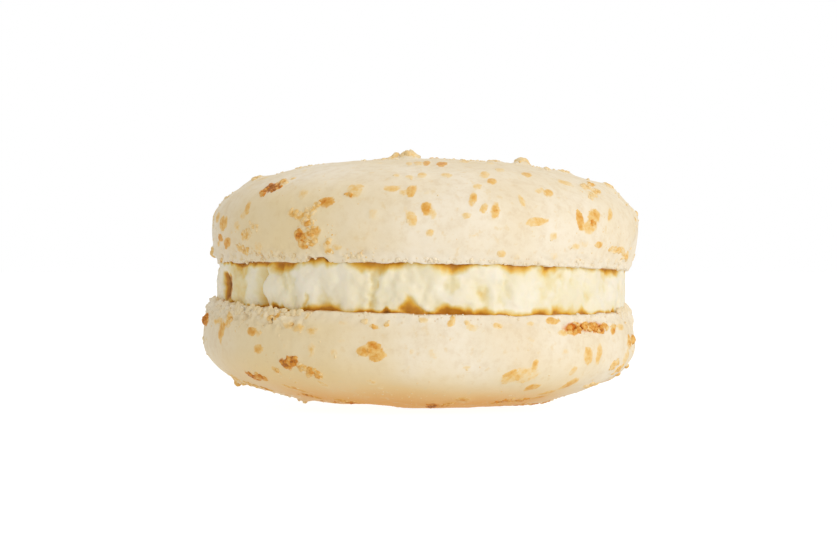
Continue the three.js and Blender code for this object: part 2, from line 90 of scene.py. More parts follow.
UPPER_FLAKES = [
    # a dark toasted cluster on the left shoulder
    (-50, 8.0, 1.4, 0.9, -25, 0.8, CRUMBLY),
    (-48, 8.7, 2.1, 1.3, -30, 1.1, CRUMBLY),
    (-46, 9.1, 2.0, 0.9, -40, 0.85, CRUMBLY),
    (-46.5, 10.0, 2.2, 0.9, -40, 0.6, CRUMBLY),
    (-44.5, 10.8, 1.1, 0.6, -30, 0.4, FLAT),
    (-67, 11.8, 2.4, 1.2, -15, 0.35, SUNK),
    (-76, 11.8, 2.0, 1.0, -10, 0.4, CRUMBLY),
    (-63, 9.2, 2.0, 0.8, -15, 0.15, SUNK),
    # left edge
    (-53.5, 6.1, 1.7, 1.0, -65, 0.6, FLAT),
    (-55, 5.2, 1.3, 0.8, -5, 0.4, SUNK),
    (-72, 5.2, 2.0, 1.1, 0, 0.55, FLAT),
    (-66, 4.5, 2.2, 1.4, 10, 0.62, FLAT),
    (-69, 3.0, 1.7, 0.8, 0, 0.8, FLAT),
    (-64, 2.4, 1.9, 1.0, 20, 0.72, FLAT),
    (-72, 2.3, 1.5, 0.6, 5, 0.5, FLAT),
    (-84, 1.6, 1.6, 0.9, 0, 0.55, CRUMBLY),
    (-73, 0.3, 1.5, 0.5, 0, 0.65, CRUMBLY),
    (-57.5, 4.1, 1.4, 0.9, -15, 0.35, SUNK),
    (-53, 3.1, 1.9, 1.1, 20, 0.5, CRUMBLY),
    (-49, 4.0, 1.8, 0.7, -25, 0.3, CRUMBLY),
    (-56.5, 1.8, 1.6, 0.7, 5, 0.5, CRUMBLY),
    (-54.5, 1.3, 1.1, 0.5, 5, 0.6, CRUMBLY),
    (-48, 1.9, 1.2, 0.8, 10, 0.4, FLAT),
    (-48, 1.2, 0.7, 0.4, 5, 0.4, SUNK),
    (-43, 1.2, 0.6, 0.5, 15, 0.35, SUNK),
    # crumbs running down to a large cluster over the foot
    (-34, 7.5, 1.5, 1.0, -45, 0.35, SUNK),
    (-26, 6.5, 2.0, 1.1, 5, 0.75, FLAT),
    (-28.5, 6.1, 1.0, 0.8, -45, 0.5, CRUMBLY),
    (-35, 5.3, 1.4, 0.9, 0, 0.5, CRUMBLY),
    (-32, 4.9, 1.6, 0.9, 5, 0.6, CRUMBLY),
    (-30, 5.5, 1.4, 0.9, 10, 0.42, CRUMBLY),
    (-30.5, 4.4, 1.5, 0.9, -10, 0.55, CRUMBLY),
    (-32.5, 2.9, 1.5, 1.1, 5, 0.85, CRUMBLY),
    (-29, 3.2, 2.0, 1.1, 15, 0.64, CRUMBLY),
    (-32, 2.0, 1.2, 0.9, 10, 0.75, CRUMBLY),
    (-29.5, 2.4, 1.4, 1.0, 5, 0.58, CRUMBLY),
    (-25, 2.0, 1.1, 0.7, 50, 0.45, CRUMBLY),
    (-25, 1.3, 0.9, 0.6, 5, 0.55, FLAT),
    (-22.5, 1.7, 1.1, 0.6, 0, 0.35, FLAT),
    (-19, 8.0, 2.2, 1.8, -75, 0.45, SUNK),
    (-20, 7.3, 0.9, 0.7, -25, 0.6, CRUMBLY),
    # middle
    (-9, 8.3, 1.6, 1.0, 5, 0.5, FLAT),
    (-4, 8.0, 1.9, 1.0, 80, 0.6, FLAT),
    (-6, 7.7, 1.0, 0.8, -75, 0.4, SUNK),
    (0, 5.8, 1.4, 1.0, 85, 0.7, FLAT),
    (1.5, 5.3, 1.0, 0.8, -65, 0.35, SUNK),
    (-3.5, 4.7, 1.5, 1.0, -75, 0.5, FLAT),
    (-13, 5.1, 1.3, 1.0, -85, 0.25, SUNK),
    (1, 3.3, 0.9, 0.6, 0, 0.4, FLAT),
    (-5, 5.7, 0.6, 0.5, 0, 0.25, SUNK),
    (12, 7.0, 1.6, 0.8, 70, 0.55, FLAT),
    (14.5, 5.9, 1.2, 0.7, 60, 0.45, FLAT),
    (10, 5.1, 0.9, 0.7, 5, 0.4, FLAT),
    (17.5, 5.6, 1.7, 1.0, 75, 0.57, FLAT),
    (11.5, 3.1, 0.8, 0.6, 0, 0.25, SUNK),
    (14, 8.8, 1.1, 0.8, 60, 0.4, SUNK),
    (18, 11.4, 1.9, 0.9, 65, 0.45, FLAT),
    (19, 9.9, 1.3, 0.9, 60, 0.65, FLAT),
    (34, 12.0, 2.0, 1.0, 50, 0.55, FLAT),
    (26, 13.4, 1.9, 0.9, 60, 0.3, SUNK),
    (35, 8.2, 1.4, 0.9, 40, 0.55, FLAT),
    (32.5, 8.5, 1.3, 0.7, 30, 0.3, SUNK),
    (25.5, 7.0, 1.5, 0.6, -80, 0.4, FLAT),
    (29, 4.7, 2.5, 0.8, 10, 0.52, FLAT),
    (34, 3.2, 1.0, 0.7, 0, 0.3, SUNK),
    (19.5, 1.3, 0.9, 0.7, -10, 0.4, FLAT),
    (24, 1.0, 0.9, 0.6, -5, 0.2, SUNK),
    (35, 1.2, 1.2, 0.7, -5, 0.2, SUNK),
    # right side
    (42.8, 5.0, 2.1, 1.1, -78, 0.68, FLAT),
    (48.5, 5.5, 2.1, 1.5, 15, 0.58, FLAT),
    (46.3, 4.3, 2.3, 1.1, 0, 0.45, SUNK),
    (47.5, 4.9, 0.8, 0.6, -50, 0.75, CRUMBLY),
    (56, 5.8, 1.8, 0.8, 45, 0.5, FLAT),
    (51, 2.6, 1.4, 0.7, -5, 0.57, FLAT),
    (42, 2.3, 1.2, 0.7, -5, 0.3, SUNK),
    (45, 2.6, 1.4, 0.7, 0, 0.25, SUNK),
    (59, 2.1, 2.4, 0.6, 0, 0.4, CRUMBLY),
    (63, 2.2, 1.8, 0.6, 0, 0.5, CRUMBLY),
    (67, 1.6, 2.2, 0.8, -10, 0.45, CRUMBLY),
    (54, 9.8, 2.3, 1.1, 20, 0.4, CRUMBLY),
    (61, 10.6, 2.3, 0.9, 20, 0.5, CRUMBLY),
    (57, 9.0, 2.2, 0.9, 20, 0.5, CRUMBLY),
    (52, 8.2, 1.8, 0.8, 25, 0.35, CRUMBLY),
    (46, 10.5, 1.9, 1.3, -5, 0.4, FLAT),
    (70, 15.0, 2.4, 1.2, 0, 0.3, CRUMBLY),
    (79, 10.4, 2.2, 1.2, 0, 0.4, CRUMBLY),
    # along the top
    (-7, 16.1, 2.0, 0.6, -80, 0.4, FLAT),
    (-3.5, 16.4, 2.2, 0.8, -85, 0.45, FLAT),
    (0, 16.4, 2.6, 0.7, 90, 0.7, FLAT),
    (6, 15.7, 2.6, 1.1, 80, 0.75, FLAT),
    (19, 18.7, 2.6, 1.0, 70, 0.42, FLAT),
    (-9, 11.1, 1.1, 0.6, -80, 0.3, SUNK),
    (-5, 10.7, 1.1, 0.8, -80, 0.3, SUNK),
    (-1.5, 11.4, 1.5, 0.9, 90, 0.42, FLAT),
    (6, 11.4, 1.4, 1.0, -70, 0.35, FLAT),
    (30, 17.5, 2.4, 0.8, 55, 0.3, FLAT),
    (-14, 22.9, 1.9, 1.3, 10, 0.3, CRUMBLY),
    (-28, 22.4, 1.6, 1.1, 0, 0.35, CRUMBLY),
    (58, 18.8, 1.6, 1.2, 0, 0.5, CRUMBLY),
]
LOWER_FLAKES = [
    # left edge
    (-78, 2.3, 2.8, 1.1, 0, 0.9, CRUMBLY),
    (-66, 2.1, 2.0, 0.6, 10, 0.5, FLAT),
    (-62.3, 3.0, 2.2, 1.4, 80, 0.64, FLAT),
    (-59, 1.7, 1.5, 0.9, 80, 0.55, CRUMBLY),
    (-47, 2.8, 1.6, 0.9, 0, 0.7, FLAT),
    (-44.5, 2.9, 0.9, 0.6, 0, 0.45, SUNK),
    (-44, 4.5, 1.4, 0.9, -5, 0.6, FLAT),
    (-44, 1.0, 1.1, 0.7, 55, 0.4, FLAT),
    (-39, 1.0, 0.9, 0.6, 60, 0.65, FLAT),
    (-41, 1.2, 1.2, 0.6, 0, 0.35, CRUMBLY),
    (-31.5, 2.0, 1.6, 0.9, 0, 0.45, SUNK),
    (-34.5, 1.8, 1.2, 0.7, 0, 0.35, SUNK),
    (-27.5, 2.2, 1.4, 0.9, 0, 0.42, SUNK),
    (-29.5, 0.7, 0.9, 0.6, 60, 0.3, SUNK),
    # a dark cluster with a pale tail, lower left
    (-35, 5.8, 1.5, 1.0, -30, 1.0, CRUMBLY),
    (-32.5, 5.5, 1.6, 1.1, -5, 0.9, CRUMBLY),
    (-30, 6.1, 1.3, 1.1, 10, 0.58, CRUMBLY),
    (-28, 6.5, 1.3, 1.1, 70, 0.52, CRUMBLY),
    (-26, 6.9, 1.3, 0.9, -50, 0.6, CRUMBLY),
    (-39, 6.6, 1.2, 0.8, -20, 0.5, CRUMBLY),
    (-51, 7.9, 2.2, 0.9, -25, 0.9, CRUMBLY),
    (-47, 7.8, 2.0, 0.9, -25, 0.85, CRUMBLY),
    (-37, 10.2, 2.3, 1.0, -45, 0.65, FLAT),
    (-39.5, 9.7, 2.0, 0.9, -40, 0.5, FLAT),
    (-68, 9.3, 2.6, 1.6, -25, 0.5, CRUMBLY),
    (-27, 4.0, 1.5, 0.9, -85, 0.34, SUNK),
    (-35, 3.8, 1.1, 0.8, 85, 0.22, SUNK),
    (-19, 1.2, 1.1, 0.6, 0, 0.25, SUNK),
    (-19.5, 3.1, 1.1, 0.6, 15, 0.2, SUNK),
    (-21, 4.4, 1.0, 0.8, 50, 0.3, SUNK),
    (-26, 8.3, 1.6, 0.8, -60, 0.3, SUNK),
    # middle
    (-13, 4.0, 1.9, 1.1, 5, 0.62, FLAT),
    (-11, 3.5, 1.7, 0.9, -10, 0.76, FLAT),
    (-10, 4.5, 1.7, 0.9, 10, 0.68, FLAT),
    (-11.5, 4.0, 1.8, 1.2, -10, 0.66, SUNK),
    (-13.5, 1.1, 0.5, 0.4, 0, 0.4, CRUMBLY),
    (-11, 1.5, 0.9, 0.4, -20, 0.5, CRUMBLY),
    (-8, 1.2, 0.6, 0.5, 60, 0.45, CRUMBLY),
    (1, 0.7, 0.9, 0.6, 0, 0.3, SUNK),
    (8, 0.8, 1.1, 0.6, 60, 0.55, FLAT),
    (13, 1.4, 1.1, 0.6, -10, 0.3, SUNK),
    (12, 0.9, 0.6, 0.5, -50, 0.3, SUNK),
    (-1.5, 3.9, 0.8, 0.5, 90, 0.22, SUNK),
    (3.5, 4.2, 1.1, 0.8, -60, 0.2, SUNK),
    (12, 5.6, 0.6, 0.5, 15, 0.3, SUNK),
    (-12, 7.6, 1.2, 0.8, -20, 0.42, FLAT),
    # right side
    (20, 1.2, 1.1, 0.6, -10, 0.38, SUNK),
    (29, 1.0, 0.8, 0.5, -5, 0.3, SUNK),
    (29, 2.7, 0.7, 0.5, 0, 0.25, SUNK),
    (36, 0.7, 1.6, 0.7, 0, 0.64, FLAT),
    (39, 2.0, 1.3, 0.7, 0, 0.4, SUNK),
    (39, 4.0, 1.1, 0.7, 5, 0.25, SUNK),
    # toasted crumbs caught under the foot
    (43, 1.6, 2.0, 1.2, 0, 0.8, CRUMBLY),
    (47, 1.3, 1.2, 0.7, 0, 0.65, CRUMBLY),
    (50.6, 1.6, 2.4, 1.1, -8, 0.72, CRUMBLY),
    (53.4, 1.9, 1.2, 0.8, 0, 0.86, CRUMBLY),
    (55.5, 1.5, 1.6, 0.6, -5, 0.65, CRUMBLY),
    (61, 1.6, 1.4, 0.5, 0, 0.5, CRUMBLY),
    (60.5, 2.1, 1.2, 0.7, 15, 0.75, FLAT),
    (66, 1.8, 1.8, 0.6, -5, 0.45, FLAT),
    (47.5, 4.5, 2.0, 1.3, -75, 0.52, FLAT),
    (52, 4.4, 1.9, 1.0, 80, 0.5, FLAT),
    (72, 3.5, 2.4, 1.2, 0, 0.6, CRUMBLY),
    (70, 5.2, 2.2, 1.4, 15, 0.35, SUNK),
    (61.5, 5.8, 2.0, 0.9, 10, 0.5, CRUMBLY),
    (67, 6.5, 2.2, 0.9, 15, 0.55, CRUMBLY),
    (30, 5.3, 1.3, 0.7, 80, 0.55, FLAT),
    # a broad flake sunk in the skin, lower right
    (25.5, 6.6, 3.8, 1.5, 25, 0.46, SUNK),
    (28.5, 6.9, 2.6, 1.2, 20, 0.36, SUNK),
    (23.5, 6.3, 2.0, 0.8, 30, 0.6, FLAT),
    (32, 8.4, 1.7, 1.1, 35, 0.62, FLAT),
    (40, 9.8, 2.1, 1.1, 35, 0.6, FLAT),
    (45, 8.2, 2.4, 1.3, 40, 0.62, FLAT),
    (43, 6.2, 1.1, 0.9, 70, 0.42, FLAT),
    (58.5, 8.8, 2.2, 0.8, 20, 0.3, CRUMBLY),
    # along the bottom
    (41, 11.5, 2.4, 0.9, 45, 0.5, FLAT),
    (35, 12.1, 2.6, 1.2, 45, 0.6, CRUMBLY),
    (29, 12.4, 2.5, 1.2, 50, 0.55, CRUMBLY),
    (14, 11.4, 2.0, 1.4, -55, 0.55, FLAT),
    (10, 13.1, 2.2, 1.0, 75, 0.7, CRUMBLY),
    (5.5, 14.0, 2.6, 1.4, 85, 0.95, CRUMBLY),
    (-23.5, 13.2, 2.8, 1.3, -35, 0.65, CRUMBLY),
    (-36.5, 12.2, 2.0, 0.8, -45, 0.4, CRUMBLY),
    (-61, 10.4, 2.2, 0.9, -25, 0.4, CRUMBLY),
    (-55, 11.1, 1.8, 0.7, -30, 0.3, CRUMBLY),
    (29.5, 19.7, 3.2, 0.9, 0, 0.85, CRUMBLY),
    (44, 18.3, 3.0, 1.0, 5, 0.8, CRUMBLY),
    (51, 17.2, 2.6, 1.0, 10, 0.75, CRUMBLY),
    (57.5, 16.0, 2.0, 0.8, 10, 0.7, CRUMBLY),
    (62, 15.2, 1.8, 1.0, 20, 0.6, CRUMBLY),
    (10, 20.0, 2.2, 1.4, 10, 0.95, CRUMBLY),
    (-41, 18.4, 2.6, 1.0, 0, 0.75, CRUMBLY),
    (-36, 19.0, 2.4, 1.2, 0, 0.8, CRUMBLY),
    (-18.5, 20.6, 2.8, 1.0, 0, 0.85, CRUMBLY),
    (-10.5, 20.7, 2.6, 1.0, 0, 0.8, CRUMBLY),
    (-3, 20.5, 2.6, 1.0, 0, 0.8, CRUMBLY),
]
print(len(UPPER_FLAKES), "flakes by hand above and", len(LOWER_FLAKES), "below")

# %% A run of drawn numbers, the same each time
STATES = 2**32  # the whole numbers that the run goes through


def draw_from(seed):
    """Draws numbers from 0 to 1, always the same ones from the same seed."""
    state = seed

    def draw():
        nonlocal state
        state = (state * 1664525 + 1013904223) % STATES
        return state / STATES

    return draw


# %% Angles, easy slopes and directions
UP = np.array([0.0, 0.0, 1.0])


def turn_between(a, b):
    """The turn from b to a, from -180 to 180 degrees."""
    return (a - b + 180) % 360 - 180


def smooth(low, high, value):
    """0 below `low`, 1 above `high`, and an easy slope between."""
    share = np.clip((value - low) / (high - low), 0, 1)
    return share * share * (3 - 2 * share)


def azimuths_of(points):
    return np.degrees(np.arctan2(points[:, 0], -points[:, 1]))


def directions(azimuth):
    """Arrows one long at each azimuth: straight out from the axis, and round it."""
    angle = np.radians(azimuth)
    level = np.zeros_like(angle)
    outward = np.stack([np.sin(angle), -np.cos(angle), level], axis=-1)
    around = np.stack([np.cos(angle), np.sin(angle), level], axis=-1)
    return outward, around


# %% [markdown]
# ## The outline of a shell
#
# Half of the outline is a curve in the plane through the axis: a skirt that swells from the rim to
# the belly, then a quarter of a superellipse up to the pole. It is measured off by distance along
# the skin, because a baker's eye sees the skin and not a parameter.

# %% The outline
class Outline:
    def __init__(self, spec):
        self.radius = spec["radius"]
        self.height = spec["height"]
        self.shares = np.linspace(0, 1, 801)
        steps = np.diff(self.at_share(self.shares), axis=0)
        self.lengths = np.concatenate([[0], np.cumsum(np.hypot(steps[:, 0], steps[:, 1]))])
        self.length = self.lengths[-1]

    def at_share(self, share):
        climb = share / SKIRT_SHARE
        angle = np.clip((share - SKIRT_SHARE) / (1 - SKIRT_SHARE), 0, 1) * math.pi / 2
        crown = self.height - BELLY_HEIGHT
        dome_radius = self.radius * np.maximum(np.cos(angle), 0) ** (2 / ROUNDNESS)
        dome_height = BELLY_HEIGHT + crown * np.sin(angle) ** (2 / ROUNDNESS)
        skirt = share < SKIRT_SHARE
        radius = np.where(skirt, self.radius - RIM_INSET * (1 - climb) ** 2, dome_radius)
        height = np.where(skirt, BELLY_HEIGHT * climb, dome_height)
        return np.stack([radius, height], axis=-1)

    def at(self, along):
        return self.at_share(np.interp(along, self.lengths, self.shares))

    def slope(self, along):
        share = np.interp(along, self.lengths, self.shares)
        step = self.at_share(np.minimum(share + 1e-4, 1)) - self.at_share(np.maximum(share - 1e-4, 0))
        return step / np.maximum(np.linalg.norm(step, axis=-1, keepdims=True), 1e-12)


for shell in (UPPER, LOWER):
    shell["outline"] = Outline(shell)
    print(shell["name"], "skin from rim to pole:", round(shell["outline"].length, 2), "mm")

# %% [markdown]
# No shell is quite round or quite level: it spreads a little on the paper. Three slow waves round
# the axis make it so, and the same bend moves the skin and the flakes on it.

# %% Out of round and lopsided
def ripple_of(waves, seed):
    """A smooth wave round the axis, between -1 and 1."""
    draw = draw_from(seed)
    phases = [draw() * 2 * math.pi for _ in waves]

    def ripple(azimuth):
        angle = np.radians(azimuth)
        return sum(np.cos(w * angle + p) for w, p in zip(waves, phases)) / len(waves)

    return ripple


def bend(spec, points):
    """Makes points of a shell out of round, and one side of it higher."""
    ripple = ripple_of([2, 3, 5], spec["seed"])
    azimuth = azimuths_of(points)
    stretch = 1 + OVALITY * ripple(azimuth) / spec["radius"]
    lean = 1 + spec["lopsided"] * spec["side"] * points[:, 0] / spec["radius"]
    return points * np.stack([stretch, stretch, lean], axis=-1)


def place_of(spec):
    """Turns the shell's own frame, flat face down, into the macaron's."""
    flip = 0 if spec is UPPER else 180
    turn = Matrix.Rotation(math.radians(spec["nod"]), 4, "X")
    turn = turn @ Matrix.Rotation(math.radians(spec["roll"] + flip), 4, "Y")
    return Matrix.Translation((spec["aside"], 0, spec["lift"])) @ turn


def on_table(spec, points):
    """Points of a shell in the macaron's frame, pressed flat where they would sink into the table."""
    place = np.array(place_of(spec))
    points = points @ place[:3, :3].T + place[:3, 3]
    points[:, 2] = np.maximum(points[:, 2], 0.0)
    return points


# %% [markdown]
# ## Where each flake sits
#
# A flake's seat is a small frame on the skin: x round the shell, y up the skin and z straight out.
# Its inverse tells how near a point of the skin is to the flake.

# %% Seats on the skin
def seat_on(spec, azimuth, along, turn):
    outline = spec["outline"]
    along = min(max(along, 0.0), outline.length)
    radius, height = outline.at(along)
    rise, climb = outline.slope(along)
    angle = math.radians(azimuth * spec["side"])
    outward = Vector((math.sin(angle), -math.cos(angle), 0))
    around = Vector((math.cos(angle), math.sin(angle), 0))
    up_skin = outward * rise + Vector((0, 0, climb))
    normal = outward * climb - Vector((0, 0, rise))
    point = outward * radius + Vector((0, 0, height))
    bent = Vector(bend(spec, np.array([point]))[0])
    seat = Matrix((around, up_skin, normal)).transposed().to_4x4()
    seat.translation = bent
    return seat @ Matrix.Rotation(math.radians(turn), 4, "Z")


# %% The flakes by rule
GOLDEN_ANGLE = 137.508  # the turn from one scattered flake to the next
BARE_RIM = 1.4  # no scattered flake lies nearer the flat face, along the skin
FRONT = 84  # the flakes within this azimuth of the front are listed one by one
FRONT_REACH = 20  # ... up to this far along the skin
UPPER_SCATTER = 80  # scattered flakes on each shell, before the front is left clear
LOWER_SCATTER = 68
FAINT = 110  # faint stains of wafer dust on each shell
FINE = 120  # small flakes that lie in groups, before the front is left clear
GROUP = 6  # how many of them lie together


def scatter(spec, count):
    """Flakes spread evenly over the skin, where none are listed."""
    outline = spec["outline"]
    steps = 400
    middles = (np.arange(steps) + 0.5) / steps * outline.length
    area = np.concatenate([[0], np.cumsum(outline.at(middles)[:, 0])])
    draw = draw_from(spec["seed"] + 4)
    looks = draw_from(spec["seed"] + 90)
    rows = []
    for i in range(count):
        azimuth = turn_between(i * GOLDEN_ANGLE + 24 * (draw() - 0.5), 0)
        share = (i + 0.1 + 0.8 * draw()) / count
        length = 0.9 + 1.5 * draw() ** 2
        width = length * (0.5 + 0.4 * draw())
        turn = 360 * draw()
        along = np.searchsorted(area, share * area[-1]) / steps * outline.length
        toast = 0.3 + 0.45 * looks()
        kind = (FLAT, FLAT, CRUMBLY, SUNK)[int(4 * looks())]
        if along > BARE_RIM and not (abs(azimuth) < FRONT and along < FRONT_REACH):
            rows.append((azimuth, along, length, width, turn, toast, kind))
    return rows


def faint_stains(spec):
    """Small pale stains over the whole shell."""
    draw = draw_from(spec["seed"] + 60)
    rows = []
    for i in range(FAINT):
        azimuth = turn_between(i * GOLDEN_ANGLE * 1.3, 0)
        along = 0.6 + 0.85 * spec["outline"].length * draw()
        length = 0.4 + 0.8 * draw() ** 2
        width = length * (0.6 + 0.4 * draw())
        rows.append((azimuth, along, length, width, 360 * draw(), 0.05 + 0.25 * draw(), SUNK))
    return rows


def fine_flakes(spec):
    """Groups of small flakes, some touching, where none are listed."""
    draw = draw_from(spec["seed"] + 120)
    rows = []
    for i in range(FINE):
        if i % GROUP == 0:
            middle = turn_between(i // GROUP * GOLDEN_ANGLE + 40, 0)
            level = 1.8 + 0.6 * spec["outline"].length * draw()
            spread = 0.25 + draw()
            tone = 0.3 + 0.4 * draw()
        azimuth = turn_between(middle + 18 * spread * (draw() - 0.5), 0)
        along = max(level + 6 * spread * (draw() - 0.5), 0.8)
        length = 0.6 + 1.2 * draw() ** 2
        width = length * (0.5 + 0.4 * draw())
        kind = (CRUMBLY, CRUMBLY, FLAT, SUNK)[int(4 * draw())]
        row = (azimuth, along, length, width, 360 * draw(), tone + 0.2 * draw(), kind)
        if abs(azimuth) > FRONT or along > FRONT_REACH:
            rows.append(row)
    return rows


def darker_below(rows):
    """Flakes on the lower dome are darker towards the table, as its skin is: partly toast and partly
    painted shade.
    """
    return [(*row[:5], max(row[5], min(0.09 * row[1] - 0.32, 0.8)), row[6]) for row in rows]


UPPER["flakes"] = UPPER_FLAKES + scatter(UPPER, UPPER_SCATTER) + faint_stains(UPPER)
LOWER["flakes"] = darker_below(LOWER_FLAKES + scatter(LOWER, LOWER_SCATTER) + faint_stains(LOWER))
UPPER["fine"] = fine_flakes(UPPER)
LOWER["fine"] = darker_below(fine_flakes(LOWER))
for shell in (UPPER, LOWER):
    shell["all flakes"] = shell["flakes"] + shell["fine"]
    shell["seats"] = [seat_on(shell, *row[:2], row[4]) for row in shell["all flakes"]]
    print(shell["name"], "shell:", len(shell["flakes"]), "flakes and", len(shell["fine"]), "fine ones")

# %% [markdown]
# ## Spinning a body of revolution
#
# A lathe gives the plain body: the outline's points are joined by edges and spun round the axis.
# Spinning hundreds of steps at once is slow, so one sixteenth is spun, then doubled four times by
# copying and turning it, and the seams are merged.

# %% A spun body
WEDGE_STEPS = 46
DOUBLINGS = 4


def spun(profile):
    """A closed body of revolution from rows of radius, height and distance along the profile."""
    body = bmesh.new()
    along = body.verts.layers.float.new("along")
    line = [body.verts.new((0, -row[0], row[1])) for row in profile]
    for vertex, row in zip(line, profile):
        vertex[along] = row[2]
    edges = [body.edges.new(pair) for pair in zip(line, line[1:])]
    angle = 2 * math.pi / 2**DOUBLINGS
    bmesh.ops.spin(
        body, geom=line + edges, cent=(0, 0, 0), axis=(0, 0, 1), dvec=(0, 0, 0),
        angle=angle, steps=WEDGE_STEPS,
    )
    for _ in range(DOUBLINGS):
        copied = bmesh.ops.duplicate(body, geom=body.verts[:] + body.edges[:] + body.faces[:])
        verts = [part for part in copied["geom"] if isinstance(part, bmesh.types.BMVert)]
        bmesh.ops.rotate(body, verts=verts, cent=(0, 0, 0), matrix=Matrix.Rotation(angle, 3, "Z"))
        angle *= 2
    bmesh.ops.remove_doubles(body, verts=body.verts, dist=1e-4)
    bmesh.ops.recalc_face_normals(body, faces=body.faces)
    return body


def into_scene(name, content):
    """A new object in the scene, at the origin."""
    thing = bpy.data.objects.new(name, content)
    bpy.context.scene.collection.objects.link(thing)
    return thing


def piece_of(mesh, name):
    for polygon in mesh.polygons:
        polygon.use_smooth = True
    return into_scene(name, mesh)


def mesh_of(body, name):
    mesh = bpy.data.meshes.new(name)
    body.to_mesh(mesh)
    body.free()
    return piece_of(mesh, name)


def points_of(mesh):
    flat = np.empty(3 * len(mesh.vertices), np.float32)
    mesh.vertices.foreach_get("co", flat)
    return flat.reshape(-1, 3).astype(float)


def set_points(mesh, points):
    mesh.vertices.foreach_set("co", points.astype(np.float32).ravel())
    mesh.update()


def values_of(mesh, name):
    flat = np.empty(len(mesh.vertices), np.float32)
    mesh.attributes[name].data.foreach_get("value", flat)
    return flat.astype(float)


def keep_values(mesh, name, values):
    """Stores one number for each vertex, for a material to read."""
    layer = mesh.attributes.get(name) or mesh.attributes.new(name, "FLOAT", "POINT")
    layer.data.foreach_set("value", np.asarray(values, np.float32))


# %% [markdown]
# ## Noise on the skin
#
# Lumps are smooth noise, the sum of a few layers each half as wide as the last. Cells are the
# distance to the nearest of some scattered points, which gives grains and pores.

# %% Lumps and cells
def lattice(corner, salt):
    """A number from 0 to 1 for each lattice corner, the same each time."""
    mixed = corner[..., 0] * 374761393 + corner[..., 1] * 668265263 + corner[..., 2] * 2147483647
    mixed = (mixed + salt * 1274126177) & 0xFFFFFFFF
    mixed = ((mixed ^ (mixed >> 13)) * 1274126177) & 0xFFFFFFFF
    mixed = ((mixed ^ (mixed >> 15)) * 2246822519) & 0xFFFFFFFF
    return ((mixed ^ (mixed >> 16)) & 0xFFFFFF) / 0xFFFFFF


LATTICE_SHARE = 1.6  # lattice steps across a lump
LUMP_HEIGHT = 1.6  # brings the noise, which seldom nears its limits, to about -1 to 1
CORNERS = np.array([(i, j, k) for i in (0, 1) for j in (0, 1) for k in (0, 1)])
NEIGHBOURS = np.array([(i, j, k) for i in (-1, 0, 1) for j in (-1, 0, 1) for k in (-1, 0, 1)])


def lumps(points, size, octaves=2, seed=0):
    """Smooth noise, about -1 to 1, with lumps about `size` mm across."""
    total = np.zeros(len(points))
    weight, reach = 1.0, 0.0
    for octave in range(octaves):
        scaled = points * (2.0**octave * LATTICE_SHARE / size) + 13.7 * seed + 5.3 * octave
        base = np.floor(scaled).astype(np.int64)
        part = scaled - base
        ease = part * part * (3 - 2 * part)
        for corner in CORNERS:
            share = np.where(corner, ease, 1 - ease).prod(axis=1)
            total += weight * share * (2 * lattice(base + corner, seed + octave) - 1)
        reach += weight
        weight *= 0.5
    return LUMP_HEIGHT * total / reach


def cells(points, size, seed=0):
    """Distance to the nearest of some scattered points, about 0 to 1, in cells `size` mm across."""
    scaled = points / size + 9.1 * seed
    base = np.floor(scaled).astype(np.int64)
    nearest = np.full(len(points), 9.0)
    for neighbour in NEIGHBOURS:
        cell = base + neighbour
        spot = cell + np.stack([lattice(cell, seed + k) for k in (11, 12, 13)], axis=-1)
        nearest = np.minimum(nearest, ((spot - scaled) ** 2).sum(axis=1))
    return np.sqrt(nearest)


# %% [markdown]
# ## The relief of the skin
#
# Baked meringue has a smooth, faintly lumpy skin over the dome and an open, crumbly foot beside
# the flat face. Flakes lift the skin round them, and those under the skin show as soft bumps.
# Each of these is one small function of the place on the skin, and they are added up.

# %% The slow swell of the dome
# Knobs and dents of the skin: azimuth, along, radius in mm and height, less than 0 for a dent.
UPPER["knobs"] = [
    (-78, 11.6, 2.6, 0.3), (-14, 22.9, 1.2, 0.55), (-23.5, 23.0, 0.8, 0.4), (57, 18.8, 1.2, 0.4),
    (82, 6.2, 1.6, 0.2), (80, 0.4, 5.0, -1.15), (-82, 3.9, 1.0, -0.2), (-84, 1.6, 0.9, 0.2),
    (80, 10.3, 2.6, 0.3), (-84, 5.5, 2.0, -0.12), (80, -0.2, 2.2, -0.4),
]
LOWER["knobs"] = [
    (-27, 19.5, 5.0, -0.7), (74, 11.5, 6.0, -0.5), (-79, 2.3, 1.1, 0.2), (-78, 10.8, 1.3, 0.35),
    (-81, 8.2, 2.6, -0.45), (-66, 13.2, 3.0, -0.3), (84, 0.6, 2.2, 0.3), (-55, 16.0, 1.2, 0.25),
    (-45, 15.0, 4.0, -0.2), (83, 4.5, 2.0, 0.15),
]


def swell(spec, points):
    """How far the skin rises in slow lumps, knobs and dents, in mm."""
    wide = lumps(points, 7.0, 2, spec["seed"] + 6)
    fine = lumps(points, 2.2, 2, spec["seed"] + 7)
    relief = 0.09 * wide + 0.035 * fine
    for azimuth, along, radius, height in spec["knobs"]:
        middle = np.array(seat_on(spec, azimuth, along, 0).translation)
        relief = relief + height * smooth(radius, 0.15 * radius, np.linalg.norm(points - middle, axis=1))
    return relief


# %% The crumbly foot
FOOT_BAND = 2.4  # the crumbly part of the skin, along it
# Where the foot is broken into grains: azimuth, half-width in degrees, reach along, grain height.
UPPER["grainy"] = [
    (-60, 32, 1.8, 0.24), (-24, 12, 1.6, 0.2), (0, 60, 0.9, 0.13), (55, 30, 1.6, 0.16),
    (180, 110, 1.3, 0.14),
]
LOWER["grainy"] = [
    (-64, 36, 2.2, 0.42), (0, 60, 0.9, 0.1), (62, 28, 2.0, 0.28), (180, 110, 1.5, 0.18),
]
